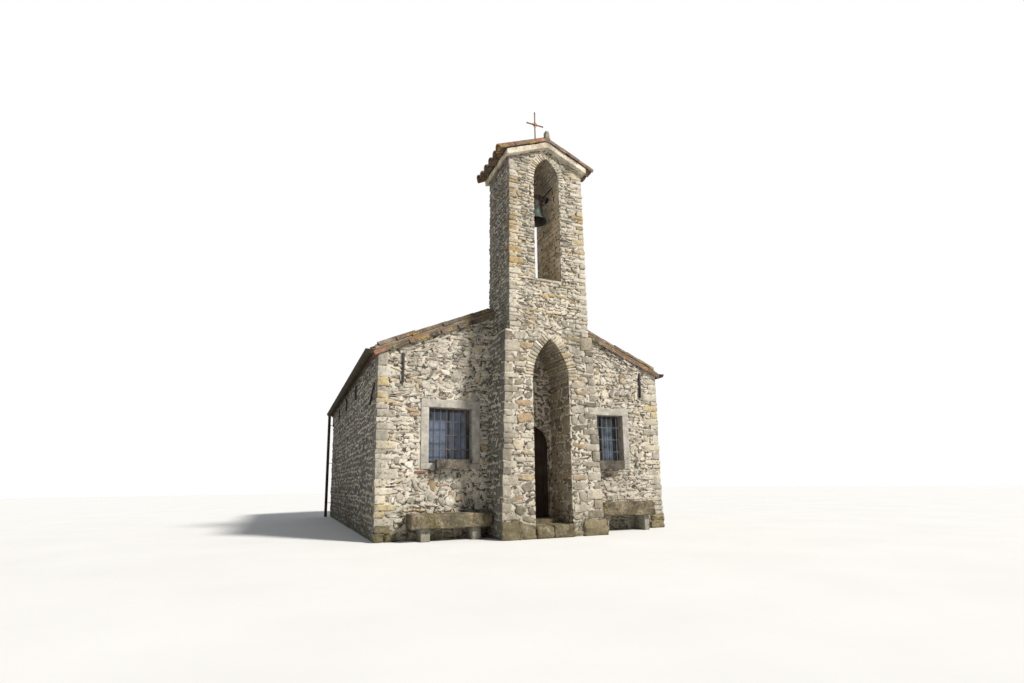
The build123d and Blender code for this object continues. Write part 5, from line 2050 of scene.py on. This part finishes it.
@dataclass
class Windows:
    """Dressed surrounds, grille collars and planter soil of the two front windows."""

    jamb: float = 0.15
    sill: float = 0.11
    proud: float = 0.016
    deep: float = 0.24
    grille_depth: float = 0.07
    columns: int = 6
    rows: int = 3
    collar_half: Pair = (0.011, 0.013)
    soil_half: float = 0.292
    soil: tuple[Pair, Pair] = ((-0.174, -0.030), (1.375, 1.398))
    brick: tuple[Pair, Pair, Pair] = ((-2.40, -2.19), (-0.026, 0.02), (1.192, 1.232))

    def build(self) -> None:
        """Model the surrounds and the small pieces on them."""
        half, z0, z1 = PLAN.window_half, PLAN.window_sill, PLAN.window_head
        reach = half + self.jamb
        sides, heads, feet, beds, places = [], [], [], [], []
        for side, _ in SIDES:
            x = side * PLAN.window_middle
            for start in (x - reach, x + half):
                sides.append(PLAN.box((start, start + self.jamb), (-self.proud, self.deep), (z0 + 0.001, z1 - 0.001)))
            heads.append(PLAN.box((x - reach, x + reach), (-self.proud - 0.002, self.deep), (z1, z1 + self.jamb)))
            feet.append(PLAN.box((x - reach, x + reach), (-self.proud - 0.006, self.deep), (z0 - self.sill, z0)))
            beds.append((x - self.soil_half, x + self.soil_half))
            for column in range(1, self.columns + 1):
                for row in range(1, self.rows + 1):
                    across = x - half + column * 2 * half / (self.columns + 1)
                    z = z0 + row * (z1 - z0) / (self.rows + 1)
                    places.append(Matrix.Translation((across, self.grille_depth, z)))
        for worn, boxes, name, node in (
            (0.006, sides, "window_side_stones", "window_jambs"),
            (0.007, heads, "window_head_stones", "window_lintels"),
            (0.008, feet, "window_foot_stones", "window_sills"),
        ):
            Hewing(worn, 0.005, 0.003, 3).blocks(name, boxes, [0.5] * len(boxes), DRESSED_STONE, node)
        Hewing(0.006, 0.006, 0.004).blocks("wall_brick", [PLAN.box(*self.brick)], [0.82], CLAY_TILE)
        wide, high = self.collar_half
        collar = block((-wide, wide), (-wide, wide), (-high, high), 0.003)
        collars = array_copies(collar, "grille_collars", places, [0.5] * len(places))
        finish_piece(collars, collars.name, GRILLE_IRON)
        soil = join_pieces([block(xs, *self.soil, cuts=9) for xs in beds])
        roughen(soil, 0.06, 0.018, 2)
        roughen(soil, 0.015, 0.008, 1)
        finish_piece(soil, "planter_soil", DRY_SOIL, degrees=40)


@dataclass
class Doorway:
    """The plank door with its nails."""

    half: float = 0.388
    foot: float = 0.322
    spring: float = 1.77
    front: float = 0.116
    thick: float = 0.040
    planks: int = 6
    gap: float = 0.004
    nail: float = 0.009
    nail_half: float = 0.03
    nail_rows: tuple[float, ...] = (0.42, 0.65, 0.98, 1.30, 1.62, 1.90)

    def head(self, x: float) -> float:
        """Return the height of the round head at a place across the door."""
        return self.spring + math.sqrt(max(0.0, self.half**2 - x**2))

    def build(self) -> None:
        """Model the door's boards and nails."""
        dice = random.Random(301)
        wide = 2 * self.half / self.planks
        boards, places = [], []
        for number in range(self.planks):
            x0, x1 = (number * wide - self.half + shift for shift in (self.gap / 2, wide - self.gap / 2))
            outline = [(x0, self.foot), (x1, self.foot)]
            outline += [(x, self.head(x)) for x in (x1 + (x0 - x1) * n / 6 for n in range(7))]
            y = self.front + dice.uniform(0, 0.004)
            board = new_object("board", [PLAN.at(x, y, z) for x, z in outline], [range(len(outline))])
            edit(board, ("extrude_region_move", {"TRANSFORM_OT_translate": {"value": (0, self.thick, 0)}}))
            face_outwards(board)
            boards.append(bevel(board, 0.004))
        finish_piece(join_pieces(boards), "door_boards", DOOR_OAK, "door_leaf", degrees=35, body=Body.DOOR)
        nail = primitive("uv_sphere", (1, 0.55, 1), segments=8, ring_count=6, radius=self.nail)
        cut = {"plane_co": (0, 0.0022, 0), "plane_no": (0, 1, 0), "clear_outer": True, "use_fill": True}
        edit(nail, ("bisect", cut))
        for z in self.nail_rows:
            for number in range(self.planks):
                x = (number + 0.5) * wide - self.half
                if z < self.head(x) - 0.05:
                    spots = (PLAN.at(x + shift, self.front - 0.0005, z) for shift in (-self.nail_half, self.nail_half))
                    places += map(Matrix.Translation, spots)
        nails = array_copies(nail, "door_nails", places, [0.5] * len(places))
        finish_piece(nails, nails.name, FORGED_IRON, degrees=60, body=Body.DOOR)


# The bell and the small pieces


@dataclass
class BellHanging:
    """The bell with its timber headstock, irons and clapper.

    The gudgeons have a radius, a length and a place across, the crown loops two radii and a place
    across, the clapper's eye two radii and a height, and its ball a radius and a height.
    """

    depth: float = -0.2925
    axis: float = 6.93
    top: float = 6.85
    height: float = 0.46
    mouth: float = 0.235
    wall: float = 0.014
    side: tuple[Pair, ...] = (
        (0.46, 0.0), (0.54, 0.025), (0.58, 0.07), (0.595, 0.14), (0.61, 0.30), (0.64, 0.50), (0.69, 0.66), (0.77, 0.81),
        (0.87, 0.91), (0.985, 0.965), (1.0, 1.0),
    )
    bands: tuple[float, ...] = (0.17, 0.21, 0.56, 0.60, 0.86)
    band_proud: float = 0.0035
    stock_half: Pair = (0.19, 0.055)
    stock_heights: Pair = (6.865, 6.990)
    stock_arch: float = 0.030
    strap_half: float = 0.014
    strap_thick: float = 0.006
    straps: Pair = (-0.075, 0.075)
    gudgeon: Triple = (0.0135, 0.105, 0.2295)
    loop: Triple = (0.02, 0.007, 0.026)
    eye: Triple = (0.0125, 0.0055, 6.79)
    ball: Pair = (0.030, 6.420)

    def profile(self) -> list[Pair]:
        """Draw the bell's outer side with its raised bands.

        Returns:
            Radius and height along it, from crown to lip.
        """
        steps = np.linspace(0, len(self.side) - 1, 61)
        radius, down = (np.interp(steps, range(len(self.side)), shares) for shares in np.array(self.side).T)
        for _ in range(3):
            for line in (radius, down):
                line[1:-1] = (line[:-2] + 2 * line[1:-1] + line[2:]) / 4
        points = []
        for r, d in zip(radius, down):
            raised = sum(math.exp(-(((d - band) / 0.012) ** 2)) for band in self.bands) * self.band_proud
            points.append((r * self.mouth + raised, self.top - d * self.height))
        return points

    def build(self) -> None:
        """Model the bell and what it hangs on."""
        outer = self.profile()
        inner = [(max(0.02, r - self.wall), z) for r, z in outer[8:-4:4]]
        under = self.top - self.wall
        points = [(0.0, self.top + 0.001), *outer, (outer[-1][0] - 0.012, outer[-1][1] - 0.001)]
        points += [*reversed(inner), (inner[0][0] - 0.02, under), (0.0, under)]
        shell = self.spun("turned_bell", points, 56)
        finish_piece(shell, shell.name, BELL_BRONZE, "bell", degrees=40, body=Body.BELL)
        self.headstock()
        self.irons()
        self.clapper()

    def spun(self, name: str, points: Sequence[Pair], steps: int) -> Thing:
        """Return a body spun round the bell's upright middle line.

        Args:
            name: its name.
            points: radius and height along its side.
            steps: how many faces go round.

        Returns:
            The object.
        """
        edges = [(n, n + 1) for n in range(len(points) - 1)]
        piece = new_object(name, [PLAN.at(r, self.depth, z) for r, z in points], [], edges=edges)
        middle = PLAN.at(0, self.depth, self.axis)
        edit(piece, ("spin", {"steps": steps, "angle": 2 * math.pi, "center": middle, "axis": (0, 0, 1)}))
        face_outwards(piece)
        return piece

    def headstock(self) -> None:
        """Model the timber headstock with a shaped upper side."""
        wide, deep = self.stock_half
        stock = block((-wide, wide), (self.depth - deep, self.depth + deep), self.stock_heights, cuts=3)
        for point in stock.data.vertices:
            if point.co.z > self.axis:
                point.co.z -= self.stock_arch * (point.co.x / wide) ** 2
        bevel(stock, 0.007)
        roughen(stock, 0.08, 0.004)
        finish_piece(stock, "bell_headstock", OLD_OAK, "bell_yoke", degrees=40, body=Body.BELL)

    def irons(self) -> None:
        """Model the straps, crown loops, gudgeons and lever of the headstock."""
        parts, y = [], self.depth
        (low, high), thick = self.stock_heights, self.strap_thick
        reach = self.stock_half[1] + thick + 0.0005
        for x in self.straps:
            xs = (x - self.strap_half, x + self.strap_half)
            for front in (y - reach, y + reach - thick):
                parts.append(block(xs, (front, front + thick), (low - 0.012, high + thick), 0.002))
            parts.append(block(xs, (y - reach, y + reach), (high - thick, high + 0.002), 0.002))
        radius, length, place = self.gudgeon
        major, minor, across = self.loop
        for side, _ in SIDES:
            gudgeon = primitive(
                "cylinder", vertices=24, radius=radius, depth=length, rotation=(0, math.pi / 2, 0),
                location=PLAN.at(side * place, y, self.axis),
            )
            loop = primitive(
                "torus", location=PLAN.at(side * across, y, self.top + minor), rotation=(math.pi / 2, 0, 0),
                major_radius=major, minor_radius=minor, major_segments=20, minor_segments=8,
            )
            parts += [bevel(gudgeon, 0.002), loop]
        parts.append(block((0.157, 0.179), (y - 0.455, y), (6.930, 6.952), 0.003))
        parts.append(block((0.150, 0.186), (-0.36, -0.34), (6.925, 6.957), 0.003))
        finish_piece(join_pieces(parts), "headstock_irons", FORGED_IRON, degrees=35, body=Body.BELL)

    def clapper(self) -> None:
        """Model the clapper as a turned rod with its ball, and its eye."""
        radius, middle = self.ball
        turns = [math.pi * n / 12 for n in range(3, 10)]
        ball = [(radius * math.sin(turn), middle + radius * math.cos(turn)) for turn in turns]
        rod = [(0.0, 6.778), (0.007, 6.776), (0.0085, 6.70), (0.0085, 6.50)]
        tip = [(0.009, 6.388), (0.008, 6.360), (0.0, 6.357)]
        turned = self.spun("rod", [*rod, *ball, *tip], 24)
        major, minor, height = self.eye
        eye = primitive(
            "torus", location=PLAN.at(0, self.depth, height), rotation=(0, math.pi / 2, 0), major_radius=major,
            minor_radius=minor, major_segments=24, minor_segments=10,
        )
        clapper = join_pieces([turned, eye])
        finish_piece(clapper, "turned_clapper", FORGED_IRON, "bell_clapper", degrees=40, body=Body.CLAPPER)


@dataclass
class RainwaterGoods:
    """Rolled rims on the gutters and clips on the downpipes."""

    middle: float = 3.25
    rim: float = 3.4166
    radius: float = 0.079
    front: float = -0.036
    back: float = 9.236
    pipe: float = 9.11
    roll: float = 0.0075
    clip: Pair = (0.0485, 0.022)
    clip_heights: Triple = (0.45, 1.75, 3.02)
    arm_half: float = 0.008
    arm_end: float = 3.095

    def build(self) -> None:
        """Model the rims and the clips."""
        rims, clips = [], []
        for side, _ in SIDES:
            place = PLAN.at(side * (self.middle + self.radius), (self.front + self.back) / 2, self.rim)
            rim = primitive(
                "cylinder", vertices=10, radius=self.roll, depth=self.back - self.front, location=place,
                rotation=(math.pi / 2, 0, 0),
            )
            rims.append(bevel(rim, 0.003, 60))
        finish_piece(join_pieces(rims), "gutter_rims", GUTTER_SHEET, degrees=50)
        for side, _ in SIDES:
            for z in self.clip_heights:
                place = PLAN.at(side * self.middle, self.pipe, z)
                clip = primitive("cylinder", vertices=24, radius=self.clip[0], depth=self.clip[1], location=place)
                clips.append(bevel(clip, 0.002, 60))
                ends = (side * self.arm_end, side * (self.middle - 0.04))
                half, y = self.arm_half, self.pipe
                clips.append(block(ends, (y - half, y + half), (z - half, z + half), 0.002))
        finish_piece(join_pieces(clips), "downpipe_clips", GUTTER_SHEET, degrees=40)


@dataclass
class WallAnchors:
    """The flat iron bars at the ends of the tie rods in the walls."""

    half: float = 0.021
    proud: float = 0.044
    front: float = 2.65
    heights: Pair = (2.84, 3.40)
    side_rows: tuple[float, ...] = (3.05, 5.05, 7.05, 9.05)
    side_heights: Pair = (2.96, 3.30)
    leaning: Triple = (0.485, 2.68, 0.62)
    tilt: float = 59.0

    def build(self) -> None:
        """Model the bars, straight ones and the two leaning ones."""
        bars = []
        for side, _ in SIDES:
            xs = (side * self.front - self.half, side * self.front + self.half)
            bars.append(block(xs, (-self.proud, 0), self.heights, 0.006))
        fronts = join_pieces(bars)
        roughen(fronts, 0.05, 0.004, 1)
        bars = []
        for side, _ in SIDES:
            xs = (side * PLAN.half_width, side * (PLAN.half_width + self.proud))
            for y in self.side_rows:
                bars.append(block(xs, (y - self.half, y + self.half), self.side_heights, 0.006))
            y, z, length = self.leaning
            bar = block(xs, (y - self.half, y + self.half), (z - length / 2, z + length / 2), 0.006)
            middle = PLAN.at(side * PLAN.half_width, y, z)
            turn = Matrix.Rotation(math.radians(self.tilt), 4, "X")
            bar.data.transform(Matrix.Translation(middle) @ turn @ Matrix.Translation(-middle))
            bars.append(bar)
        sides = join_pieces(bars)
        finish_piece(fronts, "front_anchor_bars", FORGED_IRON, "front_wall_anchors")
        finish_piece(sides, "side_anchor_bars", FORGED_IRON, "side_wall_anchors")


@dataclass
class Seating:
    """The two stone benches on the front: inner end, outer end, top, thickness, leg's width and inset."""

    depth: float = 0.46
    leg_depth: float = 0.36
    left: tuple[float, ...] = (1.07, 2.55, 0.47, 0.24, 0.165, 0.19)
    right: tuple[float, ...] = (1.26, 2.55, 0.575, 0.26, 0.12, 0.09)

    def build(self) -> None:
        """Model the slabs and their legs."""
        slabs, legs = [], []
        for side, (inner, outer, top, thick, wide, inset) in ((-1, self.left), (1, self.right)):
            slabs.append(PLAN.box((side * inner, side * outer), (-self.depth, 0), (top - thick, top)))
            for start in (inner + inset, outer - inset - wide):
                ends = (side * start, side * (start + wide))
                legs.append(PLAN.box(ends, (-self.leg_depth, 0), (0, top - thick + 0.01)))
        Hewing(0.022, 0.040, 0.018, 12, 0.16).blocks("bench_top_slabs", slabs, [0.4, 0.6], SLAB_STONE, "bench_slabs")
        Hewing(0.012, 0.016, 0.008, 5, 0.12).blocks("bench_leg_stones", legs, [0.5] * 4, LEG_STONE, "bench_legs")


@dataclass
class FootStones:
    """Rough stones at the foot of the porch and corners, the step, the ledges and the belfry's sill.

    Each stone has its limits across, in depth and in height, and its tone.
    """

    feet: tuple[tuple, ...] = (
        ((-1.06, -0.72), (-0.87, -0.815), (0, 0.325), 0.2),
        ((-0.72, -0.40), (-0.87, -0.815), (0, 0.25), 0.35),
        ((0.60, 1.13), (-0.87, -0.815), (0, 0.29), 0.6),
        ((2.74, 3.10), (-0.06, 0), (0, 0.16), 0.5),
        ((2.79, 3.10), (-0.055, 0), (0.165, 0.29), 0.7),
        ((-3.11, -2.93), (-0.06, 0), (0, 0.15), 0.1),
        ((-2.92, -2.72), (-0.07, 0), (0, 0.11), 0.0),
        ((-3.10, -2.84), (-0.055, 0), (0.155, 0.29), 0.25),
    )
    step: tuple[tuple, ...] = (
        ((-0.383, -0.05), (-0.90, -0.655), (0, 0.212), 0.3),
        ((-0.04, 0.383), (-0.89, -0.63), (0, 0.230), 0.6),
        ((-0.383, 0.383), (-0.645, -0.45), (0, 0.238), 0.5),
    )
    sill: tuple[tuple, ...] = (
        ((-0.28, 0.06), (-0.835, -0.31), (4.862, 4.908), 0.3),
        ((0.07, 0.28), (-0.830, -0.28), (4.862, 4.912), 0.6),
        ((-0.28, 0.28), (-0.30, 0.24), (4.862, 4.906), 0.45),
    )

    ledge_ends: Pair = (0.80, 0.938)
    ledge_heights: Pair = (3.765, 3.832)
    ledge_lengths: Pair = (0.16, 0.30)

    def build(self) -> None:
        """Model the stones."""
        dice = random.Random(401)
        ledges = []
        for side, _ in SIDES:
            y = PLAN.tower_front - 0.012
            while y < -0.06:
                end = min(0.0, y + dice.uniform(*self.ledge_lengths))
                xs = (side * self.ledge_ends[0], side * (self.ledge_ends[1] + dice.uniform(-0.01, 0.008)))
                ledges.append((xs, (y + 0.005, end - 0.005), self.ledge_heights, dice.random()))
                y = end
        for hewing, name, stones, finish, replaces in (
            (Hewing(0.062, 0.095, 0.040, 5, 0.12), "foot_stones", self.feet, FOOT_STONE, ("base_stones",)),
            (Hewing(0.026, 0.034, 0.016, 5, 0.10), "entry_step", self.step, SLAB_STONE, ("porch_step",)),
            (Hewing(0.014, 0.014, 0.008, 2, 0.09), "ledge_stones", ledges, TOWER_STONE, ()),
            (Hewing(0.010, 0.010, 0.006, 3, 0.10), "belfry_sill_slabs", self.sill, TOWER_STONE, ()),
        ):
            boxes = [PLAN.box(*stone[:3]) for stone in stones]
            hewing.blocks(name, boxes, [stone[3] for stone in stones], finish, *replaces)


# Floor, light and camera


@dataclass
class Studio:
    """A plain pale floor, soft light and the camera."""

    position: Triple = (-4.56357, -13.61304, 0.95619)
    yaw: float = 23.47314
    pitch: float = 9.06980
    roll: float = -0.75855
    lens: float = 18.358
    shift_y: float = 0.05859
    sun: float = 4.7
    sun_colour: Colour = (1.0, 0.965, 0.91)
    sun_way: Triple = (-0.55, 0.75, -0.80)
    sky: float = 0.30
    sky_colour: Colour = (0.86, 0.92, 1.0)

    def build(self) -> None:
        """Set up the floor, the lights, the world and the camera."""
        self.floor()
        self.lamps()
        self.world()
        self.camera()
        bpy.context.scene.view_settings.view_transform = "Standard"

    def floor(self) -> None:
        """Lay the pale floor."""
        floor = primitive("plane", size=160)
        floor.name = "studio_floor"
        made = bpy.data.materials.new("pale_floor")
        made.use_nodes = True
        made.node_tree.nodes.clear()
        board = Board(made.node_tree)
        cloudy = board.noise(board.where(), 0.6, 5)
        colour = board.ramp(cloudy, (0.3, (0.75, 0.745, 0.73)), (0.7, (0.79, 0.785, 0.77)))
        shader = board.node("BsdfPrincipled", {"Base Color": colour, "Roughness": 0.95})
        board.node("OutputMaterial", {"Surface": shader.outputs[0]})
        floor.data.materials.append(made)
        floor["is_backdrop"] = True

    def lamps(self) -> None:
        """Hang one broad, soft sun from the front right."""
        data = bpy.data.lights.new("soft_sun", "SUN")
        data.energy = self.sun
        data.angle = math.radians(9)
        data.color = self.sun_colour
        lamp = bpy.data.objects.new("soft_sun", data)
        lamp.rotation_euler = Vector(self.sun_way).to_track_quat("-Z", "Y").to_euler()
        bpy.context.scene.collection.objects.link(lamp)

    def world(self) -> None:
        """Light all round from a pale sky that the camera sees as white."""
        world = bpy.data.worlds.new("studio_world")
        bpy.context.scene.world = world
        world.use_nodes = True
        world.node_tree.nodes.clear()
        board = Board(world.node_tree)
        path = board.node("LightPath").outputs
        mirrored = board.sum("MAXIMUM", path["Is Glossy Ray"], path["Is Transmission Ray"])
        seen = board.sum("MAXIMUM", path["Is Camera Ray"], mirrored)
        soft = board.node("Background", {"Color": self.sky_colour, "Strength": self.sky})
        white = board.node("Background", {"Color": (1, 1, 1), "Strength": 1.0})
        both = board.node("MixShader", {0: seen, 1: soft.outputs[0], 2: white.outputs[0]})
        board.node("OutputWorld", {0: both.outputs[0]})

    def camera(self) -> None:
        """Place the camera where the photograph was taken from."""
        data = bpy.data.cameras.new("view")
        data.lens = self.lens
        data.sensor_width = 36
        data.shift_y = self.shift_y
        data.clip_end = 300
        camera = bpy.data.objects.new("view", data)
        camera.matrix_world = Matrix.Translation(self.position)
        for degrees, axis in ((-self.yaw, "Z"), (90 + self.pitch, "X"), (self.roll, "Z")):
            camera.matrix_world = camera.matrix_world @ Matrix.Rotation(math.radians(degrees), 4, axis)
        bpy.context.scene.collection.objects.link(camera)
        bpy.context.scene.camera = camera


def dress_nodes() -> None:
    """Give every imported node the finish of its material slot."""
    slots = {piece["node"]: piece["material_slot"] for piece in frame["record"]["subparts"]}
    for name, node in frame["nodes"].items():
        finish = GRILLE_IRON if name == "window_grilles" else NODE_FINISHES[slots.get(name, "rubble_stone")]
        node.data.materials.clear()
        node.data.materials.append(finish.material())


def main() -> None:
    """Build the chapel's looks in order."""
    drop_selection()
    dress_nodes()
    for builder in (
        NaveWalls(), Porch(), Tower(), NaveRoof(), TowerRoof(), RoofCross(), Windows(), Doorway(), BellHanging(),
        RainwaterGoods(), WallAnchors(), Seating(), FootStones(), Studio(),
    ):
        LOG.info("building %s", type(builder).__name__)
        builder.build()
    bpy.context.view_layer.update()
    boxes = {"cad": CAD_BOX, "visual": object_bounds()}
    {key: [[float(c) for c in corner] for corner in box] for key, box in boxes.items()}


if __name__ == "__main__":
    main()
